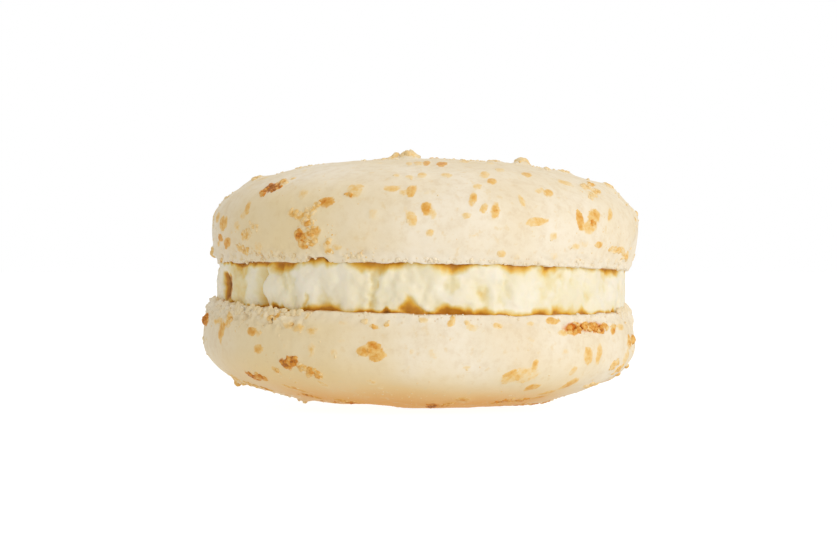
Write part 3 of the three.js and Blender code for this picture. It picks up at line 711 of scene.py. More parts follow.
# Hollows baked into the foot: azimuth, along, half-width in degrees, half-height and depth in mm.
UPPER["hollows"] = []
LOWER["hollows"] = [(43, 1.5, 4.0, 0.6, 0.2), (50.6, 1.6, 5.5, 0.6, 0.22)]


def spans(rows, azimuth, along):
    """The strongest of some spans of the foot at each place, from rows that end in a strength."""
    best = np.zeros(len(azimuth))
    for middle, half_width, reach, strength in rows:
        off = np.abs(turn_between(azimuth, middle)) / half_width
        best = np.maximum(best, strength * smooth(1.1, 0.7, off) * smooth(reach + 0.5, reach - 0.5, along))
    return best


def foot_relief(spec, points, azimuth, along):
    """The relief of the foot, how much each point belongs to it, and how deep in a hollow it is."""
    side = azimuth * spec["side"]
    ragged = along + 0.35 * lumps(points, 2.0, 2, spec["seed"] + 3)
    band = smooth(FOOT_BAND * 0.75, 0.5, ragged) * smooth(-0.6, -0.1, along)
    relief = np.zeros(len(points))
    near = np.flatnonzero((along < 3.5) & (along > -1))
    here = points[near]
    grain = 1 - cells(here, 1.0, spec["seed"])
    rough = spans(spec["grainy"], side[near], ragged[near])
    relief[near] += rough * (1.5 * grain - 0.7 + 0.4 * lumps(here, 0.5, 2, spec["seed"] + 5))
    relief[near] += 0.03 * lumps(here, 0.6, 2, spec["seed"] + 8) * smooth(2.5, 1.0, along[near])
    cavity = np.zeros(len(points))
    for middle, height, half_width, half_height, depth in spec["hollows"]:
        across = turn_between(side, middle) / half_width
        above = (along - height) / half_height
        off = np.hypot(across, above) + 0.18 * lumps(points, 0.8, 2, 17)
        inside = smooth(1.1, 0.6, off)
        relief -= depth * inside
        cavity = np.maximum(cavity, inside)
    return relief, band, cavity


# %% The worn rim
# Chips are where the foot has broken from the flat face: azimuth, width in degrees and depth.
UPPER["chips"] = [(-28.8, 6, 0.45)]
LOWER["chips"] = [(-39, 22, 0.3), (-52, 5, 0.2), (66, 16, 0.15)]
# Where the rim is frayed: azimuth, half-width in degrees and how far it frays, in mm.
UPPER["frays"] = [(-28, 9, 0.15), (-70, 25, 0.15), (10, 60, 0.08), (50, 14, 0.15)]
LOWER["frays"] = [(-48, 22, 0.45), (-85, 20, 0.4), (72, 14, 0.3), (180, 90, 0.15)]


def rim_wear(spec, azimuth):
    """How far the rim is worn back from the flat face's plane."""
    wear = ripple_of([17, 29, 41], spec["seed"] + 2)
    depth = RIM_WEAR * (1 + wear(azimuth))
    outward, _ = directions(azimuth)
    side = azimuth * spec["side"]
    jag = lumps((spec["radius"] - RIM_INSET) * outward, 0.7, 3, spec["seed"])
    for middle, width, chip in spec["chips"]:
        off = np.abs(turn_between(side, middle)) + 0.5 * jag
        depth = depth + chip * smooth(width / 2 + 0.5, width / 2 - 0.5, off)
    for middle, half_width, fray in spec["frays"]:
        off = np.abs(turn_between(side, middle))
        depth = depth + fray * jag * smooth(half_width, 0.5 * half_width, off)
    return np.maximum(depth + 0.04 * jag, 0.0)


# %% Flakes lift and tint the skin
EDGE_FADE = 0.15  # how much paler a flake is at its edge than in its middle
STAIN_HALF = 0.46  # half a stain's length, as a share of it that leaves room for its torn edge
MOUND_FOOT = 1.9  # the skin starts to rise this far from a flake's middle, its edge being at 1
MOUND_TOP = 1.15  # ... and has risen fully here
SUNK_TOP = 0.3  # ... or here, over a sunk flake, so that its bump is rounder


def mound_of(row):
    """How far a flake lifts the skin over it."""
    width, kind = row[3], row[6]
    return {SUNK: 0.08, FLAT: 0.05, CRUMBLY: 0.09}[kind] * width


def flake_relief(spec, points):
    """The skin's rise over and round the flakes, how far a flake covers it, and how toasted."""
    relief = np.zeros(len(points))
    cover = np.zeros(len(points))
    weighed = np.zeros(len(points))
    weight = np.full(len(points), 1e-6)
    for row, seat in zip(spec["all flakes"], spec["seats"]):
        length, width, tone, kind = row[2], row[3], row[5], row[6]
        inverse = np.array(seat.inverted())
        near = np.flatnonzero(np.abs(points - np.array(seat.translation)).max(axis=1) < length + 0.3)
        local = points[near] @ inverse[:3, :3].T + inverse[:3, 3]
        rag = 0.3 * lumps(points[near], 0.9, 3, 8)
        half_length, half_width = STAIN_HALF * length, STAIN_HALF * width
        off = np.hypot(local[:, 0] / half_length, local[:, 1] / half_width) + rag
        top = SUNK_TOP if kind == SUNK else MOUND_TOP
        relief[near] = np.maximum(relief[near], mound_of(row) * smooth(MOUND_FOOT, top, off))
        share = (0.55 if kind == SUNK and tone < 0.3 else 1.0) * smooth(1.5, 0.8, off)
        weighed[near] += (tone - EDGE_FADE * np.clip(off, 0, 1.2) ** 2) * share**2
        weight[near] += share**2
        cover[near] = np.maximum(cover[near], share)
    return relief, cover, weighed / weight


# %% [markdown]
# ## A shell
#
# A shell is the spun body with all of that on it. Where it would sink into the table, the skin is
# pressed flat. Each shell is more golden towards its left front. The lower shell's dome grows more
# golden and brown towards the table, partly its toast and partly painted shade under the macaron.

# %% Where a shell is more golden
GOLDEN_AZIMUTH = -38  # the side where the skin is most golden


def near_golden_side(azimuth, edge=42, core=8):
    """1 within `core` degrees of the golden side, 0 past `edge` degrees of it."""
    return smooth(edge, core, np.abs(turn_between(azimuth, GOLDEN_AZIMUTH)))


def golden(spec, azimuth, along, points):
    """How golden the skin is, and how brown: on the lower dome, partly toast and partly painted shade
    towards the table.
    """
    side = azimuth * spec["side"]
    drift = lumps(points, 8.0, 2, spec["seed"] + 9)
    golden_side = near_golden_side(side) * smooth(11, 6, along)
    if spec is UPPER:
        return np.clip(0.6 * golden_side + 0.16 * drift, 0, 1), np.zeros(len(points))
    # towards the table the lower dome grows more golden and brown: partly toast, partly painted shade
    middle = 1 - 0.6 * smooth(36, 58, np.abs(turn_between(side, 0)))
    below = smooth(3.5, 10.5, along + 0.6 * drift) * middle
    browned = smooth(6.5, 14.0, along + 0.6 * drift) * middle
    browned += 0.14 * near_golden_side(side, 50, 10) * smooth(4, 8, along) * (1 - browned)
    return np.clip(0.6 * golden_side + 0.95 * below + 0.14 * drift, 0, 1), browned


def shell_profile(spec):
    """Rows of radius, height and distance along the skin, negative on the flat face."""
    outline = spec["outline"]
    rim = spec["radius"] - RIM_INSET
    inward = [rim, 15.0, 9.0, 5.0, 3.2, 2.2, 1.5, 1.0, 0.6, 0.3]  # rings of the flat face
    face = [(rim - d, 0.0, -d) for d in inward]
    foot = np.arange(0, FOOT_BAND, 0.15)
    dome = np.linspace(FOOT_BAND, outline.length, 84)
    skin = [(*outline.at(s), s) for s in np.concatenate([foot, dome])]
    return face + skin


# %% The two shells
def make_shell(spec):
    piece = mesh_of(spun(shell_profile(spec)), spec["name"] + "_shell_skin")
    mesh = piece.data
    points = points_of(mesh)
    along = values_of(mesh, "along")
    azimuth = azimuths_of(points)

    slope = spec["outline"].slope(np.maximum(along, 0))
    outward, _ = directions(azimuth)
    normal = outward * slope[:, 1:] - UP * slope[:, :1]
    normal[along < -1e-6] = -UP

    points = bend(spec, points)
    relief, band, cavity = foot_relief(spec, points, azimuth, along)
    lift, cover, toast = flake_relief(spec, points)
    relief = relief + (swell(spec, points) + lift) * smooth(-0.5, 0.6, along)
    gold, browned = golden(spec, azimuth, along, points)
    points = points + normal * relief[:, None]
    edge = rim_wear(spec, azimuth) * smooth(-2.0, -0.1, along)
    points[:, 2] = np.where(along < 1.5, np.maximum(points[:, 2], edge), points[:, 2])

    set_points(mesh, on_table(spec, points) * MM)
    for name, values in (
        ("cover", cover), ("toast", toast), ("foot", band), ("cavity", cavity), ("golden", gold),
        ("browned", browned), ("baked", smooth(-0.3, -1.2, along)),
    ):
        keep_values(mesh, name, values)
    print(piece.name, len(mesh.polygons), "faces")
    return piece


upper_skin = make_shell(UPPER)
lower_skin = make_shell(LOWER)

# %% [markdown]
# ## The wafer flakes
#
# Toasted wafer breaks into thin plates with broken edges, and into crumbs. Each bit starts as an
# icosphere that is cut towards a polygon's outline and roughened. A plate is pressed to a low dome:
# its edge lies under the skin and only its middle comes through, as on a flake that sank while it
# baked. Crumbs are many, so each has few faces, and they are joined from arrays into one mesh.

# %% Broken bits
def ball(detail):
    """The points and faces of a unit icosphere."""
    body = bmesh.new()
    bmesh.ops.create_icosphere(body, subdivisions=detail, radius=1.0)
    points = np.array([vertex.co[:] for vertex in body.verts])
    faces = np.array([[vertex.index for vertex in face.verts] for face in body.faces])
    body.free()
    return points, faces


BALLS = {detail: ball(detail) for detail in (1, 2, 3)}
print("balls of", [len(faces) for points, faces in BALLS.values()], "faces")


def broken_bit(detail, size, draw, rough):
    """Points of one bit; size is its half-length, half-width and half-thickness."""
    points = BALLS[detail][0].copy()
    wedge = 2 * math.pi / (5 + int(3 * draw()))
    angle = np.arctan2(points[:, 1], points[:, 0]) + 2 * math.pi * draw()
    straight = math.cos(wedge / 2) / np.cos(angle % wedge - wedge / 2)
    points[:, :2] *= (0.5 + 0.5 * straight)[:, None]
    shift = np.array([draw(), draw(), draw()]) * 50
    points *= (1 + rough * lumps(points + shift, 1.1, 3))[:, None]
    return points * np.array(size)


def turned(points, angle):
    """Points turned by an angle about z."""
    c, s = math.cos(angle), math.sin(angle)
    return points @ np.array([[c, s, 0], [-s, c, 0], [0, 0, 1]])


# %% Laying bits on the skin
NARROWEST = 5.0  # nearer the pole than this a bit is bent no more, in mm from the axis


def on_skin(spec, azimuth, along, across, height):
    """Points beside a place on the skin: `across` mm round the shell and `height` mm above it."""
    outline = spec["outline"]
    kept = np.clip(along, 0, outline.length)
    slope = outline.slope(kept)
    profile = outline.at(kept) + slope * (along - kept)[:, None]
    outward, around = directions(azimuth * spec["side"])
    radius = profile[:, 0] - across**2 / (2 * np.maximum(profile[:, 0], NARROWEST))
    points = bend(spec, outward * radius[:, None] + around * across[:, None] + UP * profile[:, 1:])
    normal = outward * slope[:, 1:] - UP * slope[:, :1]
    return points + normal * (height + swell(spec, points))[:, None]


class Heap:
    """Bits that lie on a shell's skin, gathered into one mesh with a value for each vertex."""

    def __init__(self):
        self.rows, self.faces, self.values, self.count = [], [], [], 0

    def add(self, detail, points, azimuth, along, turn, height, value):
        bit = turned(points, math.radians(turn))
        row = [0 * bit[:, 0] + azimuth, bit[:, 1] + along, bit[:, 0], bit[:, 2] + height]
        self.rows.append(np.stack(row))
        self.faces.append(BALLS[detail][1] + self.count)
        self.values.append(np.zeros(len(bit)) + value)
        self.count += len(bit)

    def piece(self, spec, name, kept="toast"):
        points = on_table(spec, on_skin(spec, *np.concatenate(self.rows, axis=1)))
        mesh = bpy.data.meshes.new(name)
        mesh.from_pydata((points * MM).tolist(), [], np.concatenate(self.faces).tolist())
        keep_values(mesh, kept, np.concatenate(self.values))
        print(name, len(mesh.polygons), "faces")
        return piece_of(mesh, name)


# %% The flakes of a shell
PLATE_HEIGHT = 0.16  # from a plate's edge, under the skin, to its middle
PLATE_SHOWS = 0.06  # how far its middle stands out of the skin
PLATE_SEEN = math.sqrt(PLATE_SHOWS / PLATE_HEIGHT)  # share of its length that comes through
PLATE_HALF = 0.48 / PLATE_SEEN  # half a plate's own length, for one millimetre that is seen


def make_flakes(spec):
    """A plate for each flat flake. The others are crumbs alone, or lie under the skin."""
    plates = Heap()
    draw = draw_from(spec["seed"] + 30)
    level = BALLS[3][0][:, 2]
    for row in spec["all flakes"]:
        azimuth, along, length, width, turn, tone, kind = row
        if kind != FLAT:
            continue
        points = broken_bit(3, (1.0, 1.0, 1.0), draw, 0.25)
        out = np.hypot(points[:, 0], points[:, 1]) / PLATE_SEEN
        shade = tone - EDGE_FADE * np.clip(out, 0, 1.2) ** 2
        points[:, 2] = level * np.abs(level)
        points *= (PLATE_HALF * length, PLATE_HALF * width, PLATE_HEIGHT)
        points[:, 2] += 0.02 * lumps(points + 9 * tone, 0.5, 2, 3)
        points[:, 2] += mound_of(row) * smooth(MOUND_FOOT, MOUND_TOP, out)
        plates.add(3, points, azimuth, along, turn, PLATE_SHOWS - PLATE_HEIGHT, shade)
    return plates.piece(spec, spec["name"] + "_wafer_flakes")


# %% Crumbs on the flakes and loose crumbs round them
CRUMBS_PER_SQUARE = {CRUMBLY: 6, FLAT: 0.8, SUNK: 0.2}  # crumbs for each square millimetre
LOOSE_CRUMBS = 130  # fine crumbs over a whole shell
SHAPES = 12  # crumbs of different shape, each used many times

# Where loose crumbs gather: azimuth, along, reach in degrees, reach along, number
UPPER["crumby"] = [
    (-60, 2.4, 16, 2.2, 60), (-48, 0.9, 14, 0.6, 50), (-18, 1.0, 5, 0.6, 16), (-29, 3.4, 8, 2.6, 50),
    (-47, 8.8, 7, 1.6, 20), (52, 3.4, 14, 3.0, 30), (57, 9.5, 10, 2.0, 20),
]
LOWER["crumby"] = [
    (-64, 1.6, 22, 1.8, 60), (-38, 6.4, 14, 2.2, 36), (50, 1.8, 12, 0.9, 40), (10, 10.5, 40, 2.0, 40),
]
# Where pale crumbs stand proud: azimuth, along, reach in degrees, reach along, number
UPPER["proud"] = [
    (-80, 6.0, 7, 5.0, 26), (-66, 16.0, 14, 3.0, 22), (-30, 22.0, 28, 1.6, 26), (28, 21.5, 24, 2.0, 18),
    (60, 17.0, 12, 3.0, 18), (80, 8.0, 7, 6.0, 24), (180, 14.0, 90, 9.0, 90),
]
LOWER["proud"] = [
    (-80, 7.0, 7, 5.0, 18), (-62, 14.5, 14, 3.0, 30), (0, 19.5, 46, 1.6, 40), (64, 14.0, 12, 3.0, 18),
    (80, 6.0, 7, 5.0, 18), (180, 9.0, 90, 6.0, 60),
]
# Large crumbs that stand up alone: azimuth, along, size, tone
UPPER["lone"] = [
    (-10, 23.4, 0.62, 0.2), (-14, 22.8, 0.5, 0.3), (-17.5, 22.9, 0.42, 0.22), (-23.5, 22.9, 0.45, 0.35),
    (-26.5, 22.4, 0.32, 0.3), (56.5, 19.0, 0.5, 0.2), (58.5, 18.6, 0.45, 0.3), (60.5, 18.6, 0.3, 0.4),
    (-78.5, 11.8, 0.26, 0.4), (-83.5, 1.4, 0.38, 0.4),
    (83, 6.4, 0.24, 0.25), (66, 16.8, 0.24, 0.3), (75, 12.6, 0.24, 0.3), (68, 1.4, 0.24, 0.45),
]
LOWER["lone"] = [
    (-79, 2.4, 0.34, 0.85), (-78.5, 10.6, 0.42, 0.5), (-74.5, 11.0, 0.34, 0.45), (-70, 12.2, 0.26, 0.45),
    (-64, 13.8, 0.2, 0.35), (-55, 16.2, 0.22, 0.35), (-57, 15.7, 0.18, 0.3), (74, 11.6, 0.22, 0.4),
    (78, 3.5, 0.5, 0.6), (80, 6.6, 0.34, 0.5), (81, 8.0, 0.3, 0.5), (49, 17.8, 0.24, 0.5),
    (57, 16.2, 0.22, 0.5), (-25, 19.4, 0.3, 0.7), (11, 20.6, 0.34, 0.9),
]


def gathered(draw, azimuth, along, half_width, half_height, lowest):
    """A drawn place in a patch, most often near its middle."""
    here = azimuth + half_width * (draw() + draw() - 1)
    up = along + half_height * (draw() + draw() - 1)
    return here, max(up, lowest)


def make_crumbs(spec):
    heap = Heap()
    draw = draw_from(spec["seed"] + 50)
    shapes = [broken_bit(2, (1.5, 1.0, 0.8), draw, 0.3) for _ in range(SHAPES)]
    specks = [broken_bit(1, (1.2, 1.0, 0.8), draw, 0.3) for _ in range(SHAPES)]

    def drop(azimuth, along, turn, height, size, tone, spot=(0, 0), fine=False, swing=180):
        shape = (specks if fine else shapes)[int(SHAPES * draw())]
        points = turned(shape * size, math.radians(swing * (2 * draw() - 1))) + (*spot, 0)
        heap.add(1 if fine else 2, points, azimuth, along, turn, height, min(max(tone, 0.0), 1.0))

    def crumble(row):
        """Crumbs over one flake."""
        azimuth, along, length, width, turn, tone, kind = row
        if kind == SUNK and tone < 0.3:
            return
        for _ in range(int(CRUMBS_PER_SQUARE[kind] * length * width) + 1):
            reach = math.sqrt(draw())
            angle = 2 * math.pi * draw()
            spot = (0.5 * length * reach * math.cos(angle), 0.5 * width * reach * math.sin(angle))
            size = (0.13 + 0.2 * draw()) * (1.0 if kind == CRUMBLY else 0.65)
            height = mound_of(row) * (1 - 0.5 * reach**2) + (0.06 if kind == CRUMBLY else 0.0) - 0.5 * size
            shade = tone - 0.25 * reach**2 + 0.3 * (draw() - 0.45)
            drop(azimuth, along, turn, height, size, max(shade, 0.25), spot, swing=50)

    def loose(azimuth, along, tone):
        """One fine crumb, half sunk in the skin."""
        size = 0.05 + 0.09 * draw() ** 2
        drop(azimuth, along, 0, -0.35 * size, size, tone, fine=True)

    for row in spec["flakes"]:
        crumble(row)
    for i in range(LOOSE_CRUMBS):
        share = (i + draw()) / LOOSE_CRUMBS
        along = spec["outline"].length * (1 - math.sqrt(1 - 0.98 * share))
        loose(turn_between(i * GOLDEN_ANGLE, 0), max(along, 0.3), 0.05 + 0.3 * draw())
    for *patch, count in spec["crumby"]:
        for _ in range(count):
            here, up = gathered(draw, *patch, lowest=0.2)
            loose(here, up, 0.1 + 0.35 * draw())
    for azimuth, along, size, tone in spec["lone"]:
        drop(azimuth, along, 0, 0.1 * size, size, tone)
    for *patch, count in spec["proud"]:
        for _ in range(count):
            here, up = gathered(draw, *patch, lowest=0.4)
            drop(here, up, 0, 0, 0.08 + 0.12 * draw() ** 2, 0.3 * draw() ** 2)
    for row in spec["fine"]:
        crumble(row)
    return heap.piece(spec, spec["name"] + "_wafer_crumbs")


upper_flakes, lower_flakes = make_flakes(UPPER), make_flakes(LOWER)
upper_crumbs, lower_crumbs = make_crumbs(UPPER), make_crumbs(LOWER)

# %% [markdown]
# ### Crumbs of the foot
#
# Where the foot is rough, grains of meringue stand up along the rim. Finer relief of the skin could
# show them too, but it can't overhang. They are the same broken bits, pale and larger, half sunk in
# the skin of the foot.

# %% The meringue crumbs
# Where they stand: azimuth, along, reach in degrees, reach along, number, largest size in mm
UPPER["frills"] = [
    (-66, 0.7, 22, 0.8, 50, 0.32), (-25.2, 1.3, 1.4, 0.4, 6, 0.4), (-17, 0.7, 5, 0.5, 20, 0.32),
    (-40, 0.7, 7, 0.5, 24, 0.26), (10, 0.4, 60, 0.3, 110, 0.24),
    (58, 0.6, 18, 0.6, 40, 0.32), (-50, 4.2, 5, 1.2, 10, 0.26), (-33, 3.9, 2, 0.5, 5, 0.3),
    (180, 0.5, 100, 0.6, 120, 0.3),
]
LOWER["frills"] = [
    (-66, 0.5, 30, 0.7, 80, 0.5), (-62, 1.9, 26, 1.2, 24, 0.45), (-36, 0.35, 10, 0.4, 20, 0.42),
    (0, 0.3, 50, 0.3, 50, 0.2), (50, 0.5, 10, 0.4, 30, 0.3), (49, 2.3, 9, 0.35, 30, 0.36),
    (76, 0.3, 12, 0.5, 50, 0.5), (84, -0.25, 7, 0.4, 18, 0.55), (180, 0.5, 90, 0.6, 120, 0.4),
]


def make_frills(spec):
    heap = Heap()
    draw = draw_from(spec["seed"] + 70)
    shapes = [broken_bit(2, (1.3, 1.0, 0.8), draw, 0.28) for _ in range(SHAPES)]
    for *patch, count, largest in spec["frills"]:
        for _ in range(count):
            here, up = gathered(draw, *patch, lowest=min(patch[1], 0.05))
            size = largest * (0.35 + 0.65 * draw() ** 2)
            gold = 0.5 * near_golden_side(here) + 0.2 * draw()
            shape = shapes[int(SHAPES * draw())]
            heap.add(2, shape * size, here, up, 360 * draw(), -0.5 * size, gold)
    return heap.piece(spec, spec["name"] + "_meringue_crumbs", "golden")


upper_frills, lower_frills = make_frills(UPPER), make_frills(LOWER)

# %% [markdown]
# ## The buttercream
#
# The cream was piped and pressed until it nearly filled the gap, so its face is a soft wall. It
# has creases where two strokes of the nozzle meet, and hollows along the top and bottom where it
# didn't reach the shells. Amber is painted into the hollows, the creases and along both shells, as
# the shade and warm bounce light that fall there. The wall could be sculpted by hand, but as a spun
# band of many small faces it takes each crease and hollow from one row of numbers.

# %% Creases and hollows of the cream
CREAM_RADIUS = 22.55
CREAM_ROWS = 48
CREAM_LIMIT = 22.8  # the cream is held inside the rims
LIMIT_EASE = 0.1  # ... and meets this limit softly, over about this much
CREAM_SUNK = 0.1  # how far it reaches into each shell
HALF_GAP = 2.3  # about half the height between the shells, for the noise on the cream
BACK_START = 82  # the creases and hollows from this azimuth on, round the back, are drawn
BACK_SPAN = 200
BACK_HOLLOWS = 22
BACK_CREASES = 18
CREASE_STEP = 11  # degrees from one crease at the back to the next

# Levels go from -1 at the lower shell to 1 at the upper one. A row holds the azimuth, the lean
# towards the top in degrees, the width to the left and to the right in degrees, the depth, the
# lowest and the highest level, and the amber shade painted in the crease.
CREASES = [
    # a deep slit on the left, its core painted brown as shade
    (-70, 2.5, 3.6, 9, 0.9, -0.85, 0.45, 1.6),
    # a broad shallow crease, its painted shade darkening the left of the cream, which faces away from the
    # lamp
    (-60, 0, 14, 13, 0.15, -1.5, 1.5, 0.42),
    (-47, 0.5, 10, 1.2, 0.75, -1.2, 0.9, 0.4),
    (-39, -5, 4, 5, 0.4, -0.2, 1.2, 0.3),
    (-36.5, -2, 5, 3, 0.35, -0.9, 0.6, 0.25),
    (-31.6, 0, 2.0, 2.4, 0.3, -1.2, -0.2, 0.5),
    (-13.2, 0, 1.8, 5.0, 0.45, -0.9, 0.9, 0.35),
    (-11.6, 0, 1.4, 1.4, 0.1, 0.0, 0.3, 0.6),
    (-9, 1, 5, 5, 0.3, -0.9, 0.4, 0.2),
    (0.5, 1, 4, 4, 0.35, -1.0, 0.3, 0.2),
    (8, 1, 5, 4, 0.4, -0.3, 1.1, 0.3),
    (15.5, -1, 3, 4, 0.3, -1.2, 0.3, 0.2),
    (22.5, 2, 4, 5, 0.35, -0.7, 0.9, 0.25),
    (31.5, -1, 3, 4, 0.3, -0.9, 0.4, 0.15),
    (40.5, 0, 4, 3, 0.35, -0.9, 0.6, 0.2),
    (50, 1, 4, 4, 0.3, -0.9, 0.9, 0.2),
    (62, 0, 5, 4, 0.3, -0.8, 0.9, 0.2),
]

TOP, BOTTOM = 1, -1
# A row holds the azimuth, the half-width in degrees, how far the tip stands aside, the height as a
# share of the gap, the depth, the amber shade painted in the hollow and the side that it opens to.
HOLLOWS = [
    # under the upper rim on the left, with the rim's shadow painted in
    (-55, 13, 0, 0.10, 0.8, 1.2, TOP),
    (-39, 8, -2, 0.28, 0.3, 0.72, TOP),
    (-28, 6, 0, 0.09, 0.35, 1.0, TOP),
    (-11.8, 9, 0, 0.27, 0.4, 0.9, TOP),
    (-11.7, 1.6, 0, 0.38, 0.12, 0.7, TOP),
    (0, 4, 0, 0.06, 0.3, 0.6, TOP),
    (8.7, 8.0, -1, 0.24, 0.4, 0.92, TOP),
    (25, 8, 1, 0.19, 0.35, 0.95, TOP),
    (36, 3.8, 0, 0.12, 0.35, 0.85, TOP),
    (50, 9, 0, 0.06, 0.3, 0.55, TOP),
    (68, 9, 0, 0.16, 0.5, 0.85, TOP),
    (-66, 6, -3, 0.11, 0.6, 0.85, BOTTOM),
    (-41.5, 4.5, 0, 0.15, 0.4, 0.95, BOTTOM),
    (-30.5, 4.4, 0, 0.12, 0.4, 1.15, BOTTOM),
    (-25, 4.5, 0, 0.08, 0.5, 1.0, BOTTOM),
    (-16, 7, 0, 0.05, 0.25, 0.6, BOTTOM),
    (-9, 1.1, 0, 0.08, 0.9, 2.0, BOTTOM),
    (-1.2, 3.8, -3.6, 0.46, 0.4, 1.0, BOTTOM),
    (7.5, 4.6, -0.5, 0.20, 0.5, 1.0, BOTTOM),
    (12.5, 4, 0, 0.09, 0.4, 0.95, BOTTOM),
    (16.5, 3.6, 0, 0.13, 0.4, 0.95, BOTTOM),
    (24, 6, 0, 0.06, 0.3, 0.75, BOTTOM),
    (33.6, 4.0, 0, 0.12, 0.3, 0.95, BOTTOM),
    (40.4, 4.4, -1, 0.17, 0.3, 0.98, BOTTOM),
    (48.6, 3.6, 0, 0.14, 0.35, 1.0, BOTTOM),
    (46, 14, 0, 0.08, 0.15, 0.6, BOTTOM),
    (67.5, 2.0, 0, 0.12, 0.5, 0.9, BOTTOM),
]


def all_hollows():
    draw = draw_from(5)
    rows = list(HOLLOWS)
    for i in range(BACK_HOLLOWS):
        azimuth = BACK_START + (i + 0.5 * draw()) * (BACK_SPAN / BACK_HOLLOWS)
        height = 0.12 + 0.2 * draw()
        half_width = 3 + 5 * draw()
        tip = 3 * (draw() - 0.5)
        depth = 0.35 + 0.3 * draw()
        soaked = 0.6 + 0.4 * draw()
        rows.append((azimuth, half_width, tip, height, depth, soaked, TOP if i % 2 else BOTTOM))
    return rows


def all_creases():
    draw = draw_from(9)
    rows = list(CREASES)
    for i in range(BACK_CREASES):
        azimuth = BACK_START + (i + 0.6 * draw()) * CREASE_STEP
        low = -1 + 0.5 * draw()
        lean, left, right = 4 * (draw() - 0.5), 1.5 + 5 * draw(), 1.5 + 5 * draw()
        depth = 0.3 + 0.3 * draw()
        high = low + 1.2 + draw()
        rows.append((azimuth, lean, left, right, depth, low, high, 0.1 + 0.25 * draw()))
    return rows


# %% The cream's face
def crease_depth(azimuth, level):
    """How deep the creases lie, and how much amber shade is painted in them."""
    total = np.zeros(len(azimuth))
    stain = np.zeros(len(azimuth))
    for middle, lean, left, right, depth, low, high, soaked in all_creases():
        off = turn_between(azimuth, middle + 0.5 * lean * level)
        side = np.where(off < 0, -off / left, off / right)
        ends = smooth(low - 0.35, low + 0.35, level) * smooth(high + 0.35, high - 0.35, level)
        shape = np.clip(1 - side, 0, 1) ** 1.5 * ends
        total = np.maximum(total, depth * shape)
        stain = np.maximum(stain, soaked * smooth(0.0, 0.8, shape))
    return total, stain


def hollow_depth(azimuth, level):
    """How deep the hollows lie, and how much amber shade is painted in them."""
    total = np.zeros(len(azimuth))
    stain = np.zeros(len(azimuth))
    for middle, half_width, tip, height, depth, soaked, side in all_hollows():
        inward = (1 - level * side) / 2
        off = turn_between(azimuth, middle + tip * inward / height)
        edge = height * np.clip(1 - np.abs(off / half_width) ** 1.6, -0.3, 1)
        total = np.maximum(total, 0.75 * depth * smooth(-0.05, 0.22, edge - inward))
        stain = np.maximum(stain, soaked * smooth(-0.16, 0.8 * height + 0.04, edge - inward))
    return total, stain


def face_height(spec, x, y):
    """Height of a shell's flat face above the table."""
    across = (x - spec["aside"]) * math.tan(math.radians(spec["roll"]))
    return spec["lift"] - across + y * math.tan(math.radians(spec["nod"]))


def worn_face(spec, azimuth, reach):
    """How far the cream follows the worn rim of a shell's flat face."""
    rim = spec["radius"] - RIM_INSET
    wear = rim_wear(spec, azimuth * spec["side"])
    return np.minimum(wear, 0.5) * smooth(-2.0, -0.1, reach - rim)


# %% The band of cream
def make_cream():
    levels = np.linspace(-1, 1, CREAM_ROWS + 1)
    inner = [0.0, 0.4, 0.7, 0.85, 0.94]  # rings of the hidden faces, as shares of the radius
    profile = [(r, -1.0, 0.0) for r in inner]
    profile += [(1.0, level, 0.0) for level in levels]
    profile += [(r, 1.0, 0.0) for r in reversed(inner)]
    piece = mesh_of(spun(profile), "buttercream")
    mesh = piece.data
    points = points_of(mesh)
    level = points[:, 2]
    radius = np.hypot(points[:, 0], points[:, 1])
    azimuth = azimuths_of(points)
    rim = points[:, :2] / np.maximum(radius, 1e-9)[:, None]
    around = np.concatenate([rim * CREAM_RADIUS, HALF_GAP * level[:, None]], axis=1)

    warped = azimuth + 1.1 * lumps(around, 1.8, 2, 21) + 0.25 * lumps(around, 0.6, 2, 22)
    shifted = level + 0.07 * lumps(around, 1.6, 2, 23)
    hollow, soaked = hollow_depth(warped, shifted)
    crease, crease_shade = crease_depth(warped, level)
    bulge = 0.12 * (1 - level**2)
    waves = 0.3 * lumps(around, 3.2, 2, 3) + 0.09 * lumps(around, 1.1, 3, 4)
    torn = 0.12 * (1 - np.abs(lumps(around, 2.2, 2, 6))) - 0.06
    reach = CREAM_RADIUS + bulge + waves + torn - crease - hollow
    reach = CREAM_LIMIT - LIMIT_EASE * np.log1p(np.exp((CREAM_LIMIT - reach) / LIMIT_EASE))
    flat = points[:, :2] * reach[:, None]
    floor = face_height(LOWER, *flat.T) - worn_face(LOWER, azimuth, reach) - CREAM_SUNK
    roof = face_height(UPPER, *flat.T) + worn_face(UPPER, azimuth, reach) + CREAM_SUNK
    height = floor + (roof - floor) * (level + 1) / 2
    set_points(mesh, np.concatenate([flat, height[:, None]], axis=1) * MM)
    # Painted shade: amber along the top and bottom edges, where the shells shade the cream, and in the low
    # spots of its waves, joined to the painted shade of the hollows and creases. Past 1 it turns to
    # painted brown shade.
    edge = smooth(0.84, 1.0, np.abs(shifted)) * (0.4 + 0.4 * lumps(around, 2.4, 2, 31))
    low_shade = 0.3 * smooth(0.0, -0.35, waves)
    soaked = np.maximum.reduce([soaked, crease_shade, edge]) + low_shade
    keep_values(mesh, "soaked", np.clip(soaked, 0, 1))
    keep_values(mesh, "browned", np.clip((soaked - 1) / 0.6, 0, 1))
    print(piece.name, len(mesh.polygons), "faces")
    return piece


cream = make_cream()

# %% [markdown]
# ## Materials
#
# Each finish is a small tree of nodes on one Principled shader. Colours are written as they look
# on a screen, and one function turns them to the linear values that the shader works in.

